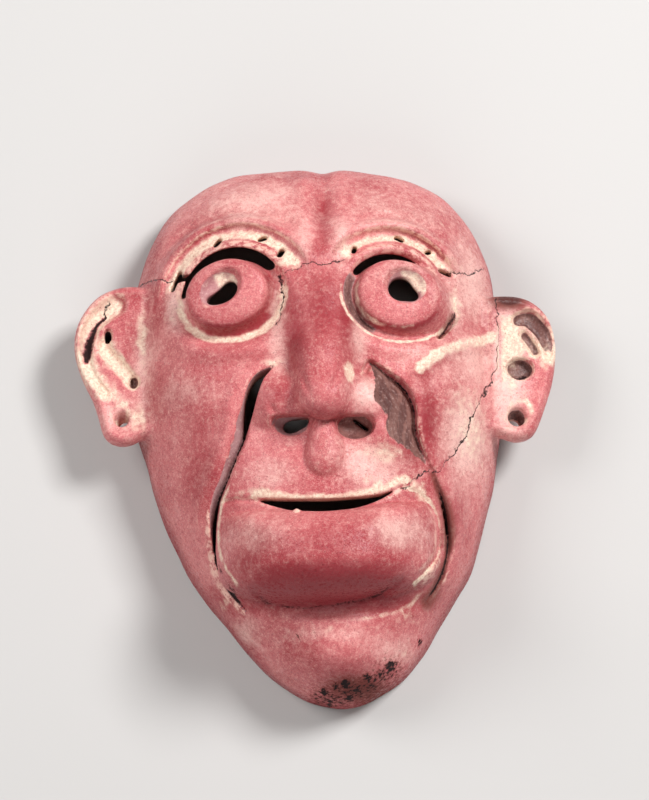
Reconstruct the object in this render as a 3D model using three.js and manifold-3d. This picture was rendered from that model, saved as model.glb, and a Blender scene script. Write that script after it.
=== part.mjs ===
// A hollow face mask of fired clay, lying on its rim with the face up.
// Millimetres. X runs across the face, Y from chin to forehead, Z out of the face.

import * as THREE from "three";
import { mergeVertices } from "three/addons/utils/BufferGeometryUtils.js";
import Module from "manifold-3d";

// The shell
const WALL = 7;
const HALF_WIDTH = 73.6;
const FOREHEAD_REACH = 84.5;
const CHIN_REACH = 132.5;
const DEPTH = 60;
const WIDEST_Y = 23;
const CHIN_DRIFT = 9;
const BROW_DRIFT = -1.3;
const JAW_PINCH = 0.045;
const SECTION_POWER = 2.2;
const BELOW_RIM = 5;

// How finely each skin is drawn, around and from the middle out. The last rows lie below the rim.
const FACE_MESH = { around: 60, rows: 25 };
const HOLLOW_MESH = { around: 34, rows: 15 };
const ROWS_BELOW_RIM = 3;
const RIM_ANGLE = 95;
const SKIN_CENTRE = [3, 4, 0];
const SKIN_REACH = 160;

// Soft swellings and dips of the skin: place, half sizes and height
const SWELLINGS = [
  // forehead: a boss on each side, the valley between them and the rise between the brows
  { at: [-28, 84], size: [20, 14], height: 2.5 },
  { at: [27, 84], size: [20, 14], height: 2.5 },
  { at: [1.5, 88], size: [4.5, 22], height: -2 },
  { at: [0, 66], size: [17, 11], height: 3 },
  // cheekbones, and a short ridge beside the right eye
  { at: [-46, 8], size: [17, 17], height: 4.5 },
  { at: [52, 10], size: [16, 18], height: 4.5 },
  { at: [57, 29], size: [9, 6], height: 1.6 },
  // chin, and the band under the lip
  { at: [7.5, -97], size: [26, 14], height: 12.5 },
  { at: [4, -80], size: [36, 5], height: -3 },
];

// The eyes: cones that stand free in round sockets under a cut lid
const EYES = [
  {
    socket: { at: [-33.6, 45.6], radii: [21.2, 17.4] },
    lid: { at: [-32, 44.2], radius: 20 },
    plate: { at: [-35.6, 45.4, 62.5], radii: [15.8, 12.8], tilt: [-0.22, 0.1] },
    base: { at: [-33, 45.6, 46], radii: [17.8, 14.6] },
    pupil: { from: [-39, 47, 65], to: [-34.8, 43.8, 42], radii: [8.2, 3.8] },
    slit: { from: [-56, 45], to: [-14, 56] },
    brow: { radius: 24.6, span: [24, 172] },
  },
  {
    socket: { at: [31.6, 45], radii: [21.8, 17.6] },
    lid: { at: [28.5, 44.9], radius: 18.4 },
    plate: { at: [33.4, 44.8, 62.5], radii: [15, 13.4], tilt: [0.12, 0.08] },
    base: { at: [32.2, 44.4, 46], radii: [18.6, 15.1] },
    pupil: { from: [34.8, 47.6, 65], to: [32.2, 46, 42], radii: [7.6, 4.6] },
    slit: { from: [8, 52.6], to: [44.4, 55.6] },
    brow: { radius: 24.6, span: [4, 148] },
  },
];
const SOCKET_DEPTH = 4;
const SOCKET_SWELL = 2;
const BROW_SWELL = { radius: 30, width: 6, height: 2.8, fade: 14 };
const LID_CUT_FROM = 26;
const TURRET_GAP = 0.4;
const TURRET_SIDES = 20;
const TOP = 95;

// Sections of the troughs round the eyes, as corners across and up from the skin
const BROW_SECTION = [[-4.6, 3], [-3, -1.6], [-0.8, -3.9], [2, -3.9], [3.6, 3]];
const SOCKET_SECTION = [[-2.6, 4], [-1, -2.6], [1.2, -2.6], [2.6, 4]];
const SOCKET_INSET = 1.4;
const SOCKET_SPAN = [155, 385];

// The nose, as round bars down the bridge and two wings beside the tip
const BRIDGE = [
  { at: [0.3, 62, 45], radius: 8.5 },
  { at: [1.2, 42, 54], radius: 9.6 },
  { at: [2.7, 20, 63], radius: 10.6 },
  { at: [4.3, 4, 70], radius: 12 },
];
const WINGS = [
  { at: [-12.6, 2, 54], radii: [14.5, 12.5, 12.6] },
  { at: [17, 2.4, 55], radii: [14, 12.5, 12.6] },
];
const NOSE_UNDERSIDE = { y: -4.8, z: 68, slope: 0.32 };
const NOSTRILS = [
  { at: [-11.2, -8, 62], radii: [6.8, 4.2, 9] },
  { at: [14.4, -8.2, 62.5], radii: [6.6, 4.6, 8] },
];
const NOSTRIL_BORE = { from: [-9.6, -8, 70], to: [-8.4, -7, 40], radii: [3.4, 3.4] };

// The mouth: a swollen muzzle, a thick pad of a lip and a slit above it
const MUZZLE = { at: [4.2, -36, 20], radii: [44, 50, 41.5] };
const LIP = { at: [4, -58.4, 46], radii: [43.4, 20.4, 31.5], droop: 13, squareness: 2.5 };
const PELLET = { at: [2.3, -19.4, 60.5], radii: [6.9, 9.6, 6] };
const MOUTH = {
  path: [[-20.8, -36.8], [-8, -38.5], [4, -38.6], [15, -37.4], [24, -35.2], [30.4, -31.8]],
  half: 2,
  from: 35,
};

// The folds from the nose wings down to the chin. Each point has its bottom's height.
const FOLDS = [
  {
    path: [
      [-12, 14.4, 58.5], [-19.8, 13.8, 54], [-24.4, 8, 52], [-26.6, 1, 51], [-28.6, -11.5, 49],
      [-35, -26.5, 44], [-40, -40, 36.5], [-40.6, -48, 32], [-39.4, -57.5, 27.5], [-35.4, -66, 26],
      [-29, -74, 28],
    ],
    slopes: { left: [6, 6], right: [1.35, 2.3] },
  },
  {
    path: [
      [20.9, 19.4, 57], [25.6, 17, 53], [30.2, 14, 49.5], [33.6, 10.2, 47.5], [37.2, 0.4, 45.5],
      [37.5, -7.2, 44.5], [39.2, -14.3, 42.5], [44.2, -25.2, 39], [48, -39.2, 32], [49.6, -48.6, 27],
      [49.8, -56.8, 24], [47.4, -66.3, 24], [42, -74, 27],
    ],
    slopes: { left: [5, 5], right: [1.75, 5.5] },
  },
];
const FOLD_CLEARANCE = 26;
const FOLD_SLOTS = [
  {
    path: [[-17.6, 15.2], [-22.4, 11.6], [-25.2, 6], [-26.8, -1.5], [-28.6, -11]],
    half: 2.4,
    from: 30,
  },
  { path: [[-38.8, -36], [-40.3, -43.8], [-40.2, -53]], half: 0.8, from: 15 },
  { path: [[46.6, -33.5], [48.6, -42], [49.6, -51]], half: 1.1, from: 10 },
];

// Small holes along the brows: place and radius
const BROW_HOLES = [
  { at: [-54, 51.2], radius: 2.7 },
  { at: [-39.4, 65.6], radius: 1.4 },
  { at: [-21.6, 67.4], radius: 1.5 },
  { at: [-14.3, 61.7], radius: 1.7 },
  { at: [14, 63.1], radius: 1.6 },
  { at: [31.7, 67.2], radius: 1.5 },
  { at: [42.8, 62.9], radius: 1 },
  { at: [51.3, 54.6], radius: 1.2 },
];

// The ears: flat plates with a hollowed front and a holed lobe
const EAR = { middle: 24, thick: 9.5, edge: 2.4, fall: 0.12, rootX: 70 };
const EARS = [
  {
    outline: [
      [-62, 54.5], [-69.5, 55.2], [-75.5, 55.6], [-81.8, 54.4], [-87.7, 51.4], [-92.6, 45.9],
      [-95.7, 39.4], [-96.6, 32.4], [-95.6, 25.4], [-92.8, 17.5], [-89, 9.8], [-86.4, 2.1],
      [-84.9, -3.3], [-82.5, -6.6], [-78.5, -8.3], [-74, -8.1], [-69, -6], [-62, -4],
    ],
    hollows: [
      {
        path: [
          [-80.8, 48.8], [-86.3, 46.3], [-90.3, 40], [-91.5, 32.8], [-91, 26.7], [-89, 20.6],
          [-81.9, 9.4],
        ],
        half: [3, 2],
        depth: 5.5,
      },
      {
        path: [[-83.8, 33.5], [-82.6, 28.7], [-79.3, 23.9], [-73, 16.8]],
        half: [2.8, 2.6],
        depth: 4.2,
      },
    ],
    pits: [{ at: [-83.8, 34.4], radius: 1.8, depth: EAR.thick + 2 }],
    lobe: { at: [-77.6, 1.7], radius: 2.7 },
  },
  {
    outline: [
      [64, 50.6], [70.9, 51.6], [78.1, 51.6], [84, 49.9], [89.1, 45.9], [92.2, 40.6], [93.9, 32.4],
      [93.6, 24.3], [92.3, 16.3], [89.8, 8.2], [87.4, 1.3], [85, -3.5], [81.8, -5.9], [77.1, -6.7],
      [71.6, -5.1], [64, -3],
    ],
    hollows: [
      {
        path: [[77.6, 42.3], [82.2, 44.7], [86.9, 42.3], [90, 37.6], [91.2, 31.5], [91, 26.7]],
        half: [2.4, 2.6],
        depth: 6,
      },
      { path: [[81.6, 34.4], [84.4, 30.7], [86.3, 27.5]], half: [2.2, 2.2], depth: 4.5 },
    ],
    pits: [{ at: [79.9, 21.8], radius: 4.6, depth: 6 }],
    lobe: { at: [78.6, 2.4], radius: 3 },
  },
];

// Small pieces of arithmetic

const hill = (distance, width) => Math.exp(-((distance / width) ** 2));

function rise(value, from, to) {
  const share = THREE.MathUtils.clamp((value - from) / (to - from), 0, 1);
  return share * share * (3 - 2 * share);
}

// The nearer of two surfaces, with a fillet of the given size between them
function blend(a, b, fillet) {
  const near = Math.max(fillet - Math.abs(a - b), 0) / fillet;
  return Math.min(a, b) - (near * near * fillet) / 4;
}

const trim = (a, b, fillet) => -blend(-a, -b, fillet);

function ellipsoid(x, y, z, at, radii) {
  const [px, py, pz] = [x - at[0], y - at[1], z - at[2]];
  const inner = Math.hypot(px / radii[0], py / radii[1], pz / radii[2]) + 1e-6;
  const slope = Math.hypot(px / radii[0] ** 2, py / radii[1] ** 2, pz / radii[2] ** 2) + 1e-9;
  return (inner * (inner - 1)) / slope;
}

function taperedBar(x, y, z, from, to) {
  const [ex, ey, ez] = to.at.map((value, i) => value - from.at[i]);
  const [px, py, pz] = [x - from.at[0], y - from.at[1], z - from.at[2]];
  const share = THREE.MathUtils.clamp(
    (px * ex + py * ey + pz * ez) / (ex * ex + ey * ey + ez * ez), 0, 1);
  const radius = from.radius + (to.radius - from.radius) * share;
  return Math.hypot(px - share * ex, py - share * ey, pz - share * ez) - radius;
}

// The form of the face: each function is negative inside the clay

function swell(x, y) {
  let height = 0;
  for (const { at, size, height: top } of SWELLINGS) {
    height += top * hill(Math.hypot((x - at[0]) / size[0], (y - at[1]) / size[1]), 1);
  }
  for (const { socket, lid, brow } of EYES) {
    const across = (x - socket.at[0]) / socket.radii[0];
    const up = (y - socket.at[1]) / socket.radii[1];
    const out = Math.hypot(across, up);
    height -= SOCKET_DEPTH * (1 - rise(out, 0.75, 1.12));
    height += SOCKET_SWELL * hill(out - 1.22, 0.2) * rise(-up, 0, 0.5);
    const turn = THREE.MathUtils.radToDeg(Math.atan2(y - lid.at[1], x - lid.at[0]));
    const middle = (brow.span[0] + brow.span[1]) / 2;
    const half = (brow.span[1] - brow.span[0]) / 2;
    const away = Math.abs(THREE.MathUtils.euclideanModulo(turn - middle + 180, 360) - 180);
    const share = 1 - rise(away, half - BROW_SWELL.fade, half + BROW_SWELL.fade);
    const ring = Math.hypot(x - lid.at[0], y - lid.at[1]);
    height += BROW_SWELL.height * hill(ring - BROW_SWELL.radius, BROW_SWELL.width) * share;
  }
  return height;
}

// A shell like half an egg, drawn in at the jaw and turned a little at the chin
function shell(x, y, z) {
  const along = y - WIDEST_Y;
  const long = along > 0 ? FOREHEAD_REACH : CHIN_REACH;
  const down = THREE.MathUtils.clamp(-along / CHIN_REACH, 0, 1);
  const power = 1.82 + 1.1 * rise(along, -40, 30);
  const wide = HALF_WIDTH * (1 - JAW_PINCH * hill(down - 0.78, 0.12));
  const middle = CHIN_DRIFT * down ** 1.5 + BROW_DRIFT * rise(along, -40, 20);
  const u = Math.abs(x - middle) / wide + 1e-6;
  const v = Math.abs(along) / long + 1e-6;
  const w = Math.max(z, 0) / DEPTH + 1e-6;
  const plan = (u ** power + v ** power) ** (1 / power);
  const full = (plan ** SECTION_POWER + w ** SECTION_POWER) ** (1 / SECTION_POWER);
  const lean = (plan / full) ** (SECTION_POWER - 1);
  const slope = Math.hypot(
    (lean * (u / plan) ** (power - 1)) / wide,
    (lean * (v / plan) ** (power - 1)) / long,
    z > 0 ? (w / full) ** (SECTION_POWER - 1) / DEPTH : 0);
  return (full - 1) / Math.max(slope, 0.006);
}

function nose(x, y, z) {
  let form = taperedBar(x, y, z, BRIDGE[0], BRIDGE[1]);
  form = blend(form, taperedBar(x, y, z, BRIDGE[1], BRIDGE[2]), 6);
  form = blend(form, taperedBar(x, y, z, BRIDGE[2], BRIDGE[3]), 6);
  for (const wing of WINGS) {
    form = blend(form, ellipsoid(x, y, z, wing.at, wing.radii), 7);
  }
  const under = NOSE_UNDERSIDE.y - y - NOSE_UNDERSIDE.slope * (NOSE_UNDERSIDE.z - z);
  return trim(form, under, 3.5);
}

function face(x, y, z) {
  const cheeks = shell(x, y, z - swell(x, y));
  const muzzle = ellipsoid(x, y, z, MUZZLE.at, MUZZLE.radii);
  const form = blend(blend(cheeks, muzzle, 14), nose(x, y, z), 2.5 + 5 * rise(y, -4, 10));
  return Math.max(form, -BELOW_RIM - z);
}

function lip(x, y, z) {
  const [dx, dy] = [x - LIP.at[0], y - LIP.at[1]];
  const dz = z - LIP.at[2] + LIP.droop * (dx / LIP.radii[0]) ** 2;
  const power = LIP.squareness;
  const plan = Math.abs(dx / LIP.radii[0]) ** power + Math.abs(dy / LIP.radii[1]) ** power;
  return ((plan + Math.abs(dz / LIP.radii[2]) ** power) ** (1 / power) - 1) * LIP.radii[1];
}

function foldValley(x, y, z, fold) {
  let depth = 1000;
  for (let i = 0; i + 1 < fold.path.length; i++) {
    const [ax, ay, az] = fold.path[i];
    const [bx, by, bz] = fold.path[i + 1];
    const share = THREE.MathUtils.clamp(
      ((x - ax) * (bx - ax) + (y - ay) * (by - ay)) / ((bx - ax) ** 2 + (by - ay) ** 2), 0, 1);
    const away = Math.hypot(x - ax - share * (bx - ax), y - ay - share * (by - ay));
    depth = Math.min(depth, az + (bz - az) * share + away);
  }
  return (depth - z) * Math.SQRT1_2;
}

function turretForm(x, y, z, eye) {
  const { plate, base } = eye;
  const share = THREE.MathUtils.clamp((plate.at[2] - z) / (plate.at[2] - base.at[2]), 0, 1.2);
  const middle = [0, 1].map((i) => plate.at[i] + (base.at[i] - plate.at[i]) * share);
  const radii = [0, 1].map((i) => plate.radii[i] + (base.radii[i] - plate.radii[i]) * share);
  const out = Math.hypot((x - middle[0]) / radii[0], (y - middle[1]) / radii[1]);
  return Math.max((out - 1) * radii[1], z - plate.at[2]);
}

// The hollow follows the face from behind, one wall thickness in
function hollow(x, y, z) {
  const cheeks = shell(x, y, z - swell(x, y));
  let form = blend(cheeks, ellipsoid(x, y, z, MUZZLE.at, MUZZLE.radii), 14);
  form = blend(form, nose(x, y, z), 10);
  for (const fold of FOLDS) {
    form = trim(form, -foldValley(x, y, z, fold), 4);
  }
  form = blend(form, lip(x, y, z), 8);
  for (const eye of EYES) {
    form = blend(form, turretForm(x, y, z, eye) + 1, 4);
  }
  return Math.max(form + WALL, -2 * BELOW_RIM - z);
}

// Closed meshes and solids

const manifold = await Module();
manifold.setup();

function solid(geometry) {
  geometry.deleteAttribute("normal");
  geometry.deleteAttribute("uv");
  const merged = mergeVertices(geometry, 1e-4);
  return new manifold.Manifold(new manifold.Mesh({
    numProp: 3,
    vertProperties: new Float32Array(merged.attributes.position.array),
    triVerts: new Uint32Array(merged.index.array),
  }));
}

function joined(parts) {
  return parts.reduce((whole, part) => whole.add(part));
}

function without(body, tools) {
  return tools.reduce((whole, tool) => whole.subtract(tool), body);
}

// Moves every vertex of a geometry to the place that the function gives for it
function reshape(geometry, place) {
  const vertices = geometry.attributes.position;
  for (let i = 0; i < vertices.count; i++) {
    vertices.setXYZ(i, ...place(vertices.getX(i), vertices.getY(i), vertices.getZ(i)));
  }
  return geometry;
}

// A sphere drawn in from outside until it lies on a form. Most rows are spent above the rim.
function skinOver(form, { around, rows }) {
  const sphere = new THREE.SphereGeometry(1, around, rows);
  sphere.rotateX(Math.PI / 2);
  return reshape(sphere, (x, y, z) => {
    const turn = Math.atan2(y, x);
    const row = (Math.acos(THREE.MathUtils.clamp(z, -1, 1)) / Math.PI) * rows;
    const above = rows - ROWS_BELOW_RIM;
    const angle = row < above
      ? (RIM_ANGLE * row) / above
      : RIM_ANGLE + ((180 - RIM_ANGLE) * (row - above)) / ROWS_BELOW_RIM;
    const tilt = THREE.MathUtils.degToRad(angle);
    const way = [Math.sin(tilt) * Math.cos(turn), Math.sin(tilt) * Math.sin(turn), Math.cos(tilt)];
    const point = (far) => way.map((value, i) => SKIN_CENTRE[i] + value * far);
    let outside = SKIN_REACH;
    while (outside > 1 && form(...point(outside - 1)) > 0) {
      outside -= 1;
    }
    let inside = outside - 1;
    for (let pass = 0; pass < 10; pass++) {
      const half = (inside + outside) / 2;
      if (form(...point(half)) > 0) {
        outside = half;
      } else {
        inside = half;
      }
    }
    return point(outside);
  });
}

function heightOf(form, x, y) {
  let z = TOP;
  while (z > 0 && form(x, y, z) > 0) {
    z -= 0.25;
  }
  return z;
}

// A trough along a path. Its section is a list of corners, left to right along the bottom, each
// across and up from the path.
function trough(path, section, steps) {
  const curve = new THREE.CatmullRomCurve3(path.map((point) => new THREE.Vector3(...point)));
  const corners = section(0).length;
  const tube = new THREE.CylinderGeometry(1, 1, 1, corners, steps);
  return solid(reshape(tube, (x, y, z) => {
    const share = 0.5 - y;
    const middle = curve.getPoint(share);
    const ahead = curve.getTangent(share).setZ(0).normalize();
    if (Math.hypot(x, z) < 0.5) {
      return centreOf(section(share), middle, ahead);
    }
    const corner = Math.round(corners - (Math.atan2(x, z) / (2 * Math.PI)) * corners) % corners;
    return onSection(section(share)[corner], middle, ahead);
  }));
}

function onSection([across, up], middle, ahead) {
  return [middle.x - ahead.y * across, middle.y + ahead.x * across, middle.z + up];
}

function centreOf(section, middle, ahead) {
  const sum = section.reduce(([a, b], [c, d]) => [a + c, b + d], [0, 0]);
  return onSection(sum.map((value) => value / section.length), middle, ahead);
}

// A leaf-shaped slot straight down through the clay
function slot({ path, half, from }) {
  const curve = new THREE.SplineCurve(path.map((point) => new THREE.Vector2(...point)));
  const steps = 2 * path.length;
  const edge = (share, side) => {
    const point = curve.getPoint(share);
    const ahead = curve.getTangent(share);
    const away = side * half * Math.sqrt(Math.sin(Math.PI * share));
    return new THREE.Vector2(point.x - ahead.y * away, point.y + ahead.x * away);
  };
  const points = [];
  for (let i = 0; i < steps; i++) {
    points.push(edge(i / steps, 1));
  }
  for (let i = steps; i > 0; i--) {
    points.push(edge(i / steps, -1));
  }
  return raised(new THREE.Shape(points), from, TOP);
}

function raised(shape, from, to) {
  const block = new THREE.ExtrudeGeometry(shape, { depth: to - from, bevelEnabled: false });
  return solid(block.translate(0, 0, from));
}

function bore({ from, to, radii }, sides) {
  const [start, end] = [new THREE.Vector3(...from), new THREE.Vector3(...to)];
  const axis = new THREE.Vector3().subVectors(start, end);
  const tool = new THREE.CylinderGeometry(radii[0], radii[1], axis.length(), sides);
  const upright = new THREE.Vector3(0, 1, 0);
  tool.applyQuaternion(new THREE.Quaternion().setFromUnitVectors(upright, axis.normalize()));
  tool.translate(...start.add(end).multiplyScalar(0.5).toArray());
  return solid(tool);
}

function egg({ at, radii }, around, rows) {
  const sphere = new THREE.SphereGeometry(1, around, rows);
  return solid(sphere.scale(...radii).translate(...at));
}

// The pieces of the face

function lipPad() {
  const sphere = new THREE.SphereGeometry(1, 24, 14);
  const power = 2 / LIP.squareness;
  const square = (value) => Math.sign(value) * Math.abs(value) ** power;
  return solid(reshape(sphere.rotateX(Math.PI / 2), (x, y, z) => {
    const across = square(x);
    return [
      LIP.at[0] + LIP.radii[0] * across,
      LIP.at[1] + LIP.radii[1] * square(y),
      LIP.at[2] + LIP.radii[2] * square(z) - LIP.droop * across * across,
    ];
  }));
}

// An eye's cone. The grow value widens it, for the clearance around it.
function turret({ plate, base }, grow) {
  const profile = [
    [0, 0], [1, 0], [1, 0.72], [0.93, 0.9], [0.78, 0.99], [0.5, 1.03], [0, 1.05],
  ].map(([radius, height]) => new THREE.Vector2(radius, height));
  const lathe = new THREE.LatheGeometry(profile, TURRET_SIDES).rotateX(Math.PI / 2);
  const tall = plate.at[2] - base.at[2];
  return solid(reshape(lathe, (x, y, z) => {
    const share = Math.min(z, 1);
    const middle = [0, 1].map((i) => base.at[i] + (plate.at[i] - base.at[i]) * share);
    const radii = [0, 1].map((i) => grow + base.radii[i] + (plate.radii[i] - base.radii[i]) * share);
    const [dx, dy] = [x * radii[0], y * radii[1]];
    const fall = (plate.tilt[0] * dx + plate.tilt[1] * dy) * share;
    return [middle[0] + dx, middle[1] + dy, base.at[2] + tall * z - fall];
  }));
}

// The gap between a turret and its upper lid
function lidSlit(eye) {
  const { lid, slit } = eye;
  const toward = (point) => Math.atan2(point[1] - lid.at[1], point[0] - lid.at[0]);
  const shape = new THREE.Shape();
  shape.absarc(lid.at[0], lid.at[1], lid.radius, toward(slit.to), toward(slit.from), false);
  shape.closePath();
  return raised(shape, LID_CUT_FROM, TOP).subtract(turret(eye, TURRET_GAP));
}

function ring(at, radii, span, steps) {
  const points = [];
  for (let i = 0; i <= steps; i++) {
    const turn = THREE.MathUtils.degToRad(span[0] + ((span[1] - span[0]) * i) / steps);
    const [x, y] = [at[0] + radii[0] * Math.cos(turn), at[1] + radii[1] * Math.sin(turn)];
    points.push([x, y, heightOf(face, x, y)]);
  }
  return points;
}

// Troughs narrow to nothing at both ends
function tapering(corners) {
  return (share) => {
    const size = 0.15 + 0.85 * Math.sqrt(Math.sin(Math.PI * THREE.MathUtils.clamp(share, 0, 1)));
    return corners.map(([across, up]) => [across * size, up > 0 ? up : up * size]);
  };
}

function eyeTroughs({ socket, lid, brow }) {
  const browRing = ring(lid.at, [brow.radius, brow.radius], brow.span, 12);
  const socketRadii = socket.radii.map((radius) => radius - SOCKET_INSET);
  const socketRing = ring(socket.at, socketRadii, SOCKET_SPAN, 14);
  return [
    trough(browRing.reverse(), tapering(BROW_SECTION), 14),
    trough(socketRing.reverse(), tapering(SOCKET_SECTION), 14),
  ];
}

function foldTrough({ path, slopes }) {
  const between = ([from, to], share) => from + (to - from) * rise(share, 0.45, 0.75);
  const section = (share) => [
    [FOLD_CLEARANCE / between(slopes.left, share), FOLD_CLEARANCE],
    [-FOLD_CLEARANCE / between(slopes.right, share), FOLD_CLEARANCE],
    [0, 0],
  ];
  return trough(path, section, 2 * path.length - 2);
}

// The ears

const earFront = (x) => EAR.middle + EAR.thick / 2 - EAR.fall * (Math.abs(x) - EAR.rootX);

function earPlate({ outline }) {
  const shape = new THREE.Shape();
  shape.moveTo(...outline[0]);
  shape.splineThru(outline.slice(1).map((point) => new THREE.Vector2(...point)));
  const plate = new THREE.ExtrudeGeometry(shape, {
    depth: EAR.thick - 2 * EAR.edge,
    steps: 1,
    curveSegments: 1,
    bevelThickness: EAR.edge,
    bevelSize: EAR.edge,
    bevelOffset: -EAR.edge,
    bevelSegments: 1,
  });
  plate.translate(0, 0, EAR.edge - EAR.thick);
  return solid(reshape(plate, (x, y, z) => [x, y, earFront(x) + z]));
}

function earTools({ hollows, pits, lobe }) {
  const tools = hollows.map(({ path, half, depth }) => {
    const section = (share) => {
      const size = 0.3 + 0.7 * Math.sqrt(Math.sin(Math.PI * share));
      const wide = (half[0] + (half[1] - half[0]) * share) * size;
      const [brim, floor] = [wide * 1.2, wide * 0.5];
      return [[-brim, 3], [-floor, -depth * size], [floor, -depth * size], [brim, 3]];
    };
    return trough(path.map(([x, y]) => [x, y, earFront(x)]), section, path.length + 1);
  });
  for (const { at, radius, depth } of pits) {
    const top = earFront(at[0]);
    const radii = [radius * 1.2, radius * 0.8];
    tools.push(bore({ from: [...at, top + 3], to: [...at, top - depth], radii }, 12));
  }
  const [x, y] = lobe.at;
  const [from, to] = [[x - 1.2, y + 1.5, 38], [x + 1.2, y - 1.2, 10]];
  tools.push(bore({ from, to, radii: [lobe.radius, lobe.radius] }, 12));
  return tools;
}

// The whole mask

function maskSolid() {
  const shellFront = solid(skinOver(face, FACE_MESH));
  const carved = without(shellFront, [...FOLDS.map(foldTrough), ...EYES.flatMap(eyeTroughs)]);
  const ears = EARS.map((ear) => without(earPlate(ear), earTools(ear)));
  const turrets = EYES.map((eye) => turret(eye, 0));
  const raisedParts = [carved, lipPad(), egg(PELLET, 14, 8), ...turrets, ...ears];
  const openings = [
    solid(skinOver(hollow, HOLLOW_MESH)),
    ...EYES.map(lidSlit),
    ...EYES.map((eye) => bore(eye.pupil, 16)),
    ...FOLD_SLOTS.map(slot),
    slot(MOUTH),
    ...NOSTRILS.map((nostril) => egg(nostril, 12, 7)),
    bore(NOSTRIL_BORE, 10),
    ...BROW_HOLES.map(({ at, radius }) => {
      const [from, to] = [[at[0], at[1] + 1, 80], [at[0], at[1] - 1, 25]];
      return bore({ from, to, radii: [radius, radius] }, 6);
    }),
    solid(new THREE.BoxGeometry(300, 300, 50).translate(0, 0, -25)),
  ];
  return without(joined(raisedParts), openings);
}

function toGeometry(body) {
  const mesh = body.getMesh();
  const geometry = new THREE.BufferGeometry();
  geometry.setAttribute("position", new THREE.BufferAttribute(mesh.vertProperties, 3));
  geometry.setIndex(new THREE.BufferAttribute(mesh.triVerts, 1));
  geometry.computeVertexNormals();
  geometry.computeBoundingBox();
  return geometry;
}

const clay = new THREE.MeshStandardMaterial({ name: "clay", color: 0xb4665f, roughness: 0.7, metalness: 0 });
const mask = new THREE.Mesh(toGeometry(maskSolid()), clay);
mask.name = "mask";

// The origin is under the middle of the mask, at the level of the rim
const middle = mask.geometry.boundingBox.getCenter(new THREE.Vector3());
mask.position.set(-middle.x, -middle.y, 0);

const object = new THREE.Group();
object.add(mask);

export default object;
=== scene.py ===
"""The looks of the clay mask: the form as it was modelled and cut, and the slip, wear and earth on it.

Sizes are millimetres on the mask's own plan, X across, Y up the face and Z out of the rim's plane.
The finished mesh is set on the CAD solid and turned to metres at the end.
"""

import math
from itertools import product
from types import SimpleNamespace as Sizes

import bpy
import numpy as np
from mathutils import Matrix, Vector


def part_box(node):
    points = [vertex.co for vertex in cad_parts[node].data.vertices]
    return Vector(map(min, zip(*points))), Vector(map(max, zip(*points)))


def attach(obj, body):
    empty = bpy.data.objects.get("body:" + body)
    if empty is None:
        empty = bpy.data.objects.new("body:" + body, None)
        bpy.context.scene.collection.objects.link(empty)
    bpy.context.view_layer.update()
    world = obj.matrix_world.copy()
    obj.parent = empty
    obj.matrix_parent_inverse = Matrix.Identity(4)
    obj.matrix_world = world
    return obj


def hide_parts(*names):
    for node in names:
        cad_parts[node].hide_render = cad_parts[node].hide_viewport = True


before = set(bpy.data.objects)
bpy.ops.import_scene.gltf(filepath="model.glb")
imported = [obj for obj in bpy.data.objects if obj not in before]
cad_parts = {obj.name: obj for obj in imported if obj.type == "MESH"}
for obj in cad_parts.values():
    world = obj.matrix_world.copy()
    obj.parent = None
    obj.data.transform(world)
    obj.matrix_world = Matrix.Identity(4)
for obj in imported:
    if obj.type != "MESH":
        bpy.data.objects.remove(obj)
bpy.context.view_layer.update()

MM = 0.001
GRID = 0.85
BLOCK = (-100, -117, -2), (98, 112, 88)
SLAB = 24
CORNERS = list(product((0, 1), repeat=3))
TRIANGLES = 190000

# The shell, the same as the CAD solid's, and how softly muzzle and folds run into it
WALL = 7
MUZZLE_BLEND, BACK_BLEND = 14, 5
HALF_WIDTH, FOREHEAD_REACH, CHIN_REACH, DEPTH = 73.6, 84.5, 132.5, 60
WIDEST_Y, CHIN_DRIFT, BROW_DRIFT, JAW_PINCH = 23, 9, 1.3, 0.045
SECTION_POWER = 2.2

# Forehead, between the brows, cheeks and chin: middle, half width, half height, and how far out
SWELLINGS = (
    (-28, 84, 20, 14, 2.5), (27, 84, 20, 14, 2.5), (0, 66, 17, 11, 3),
    (-46, 8, 17, 17, 4.5), (52, 10, 16, 18, 4.5), (7.5, -97, 26, 14, 12.5),
)

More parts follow.
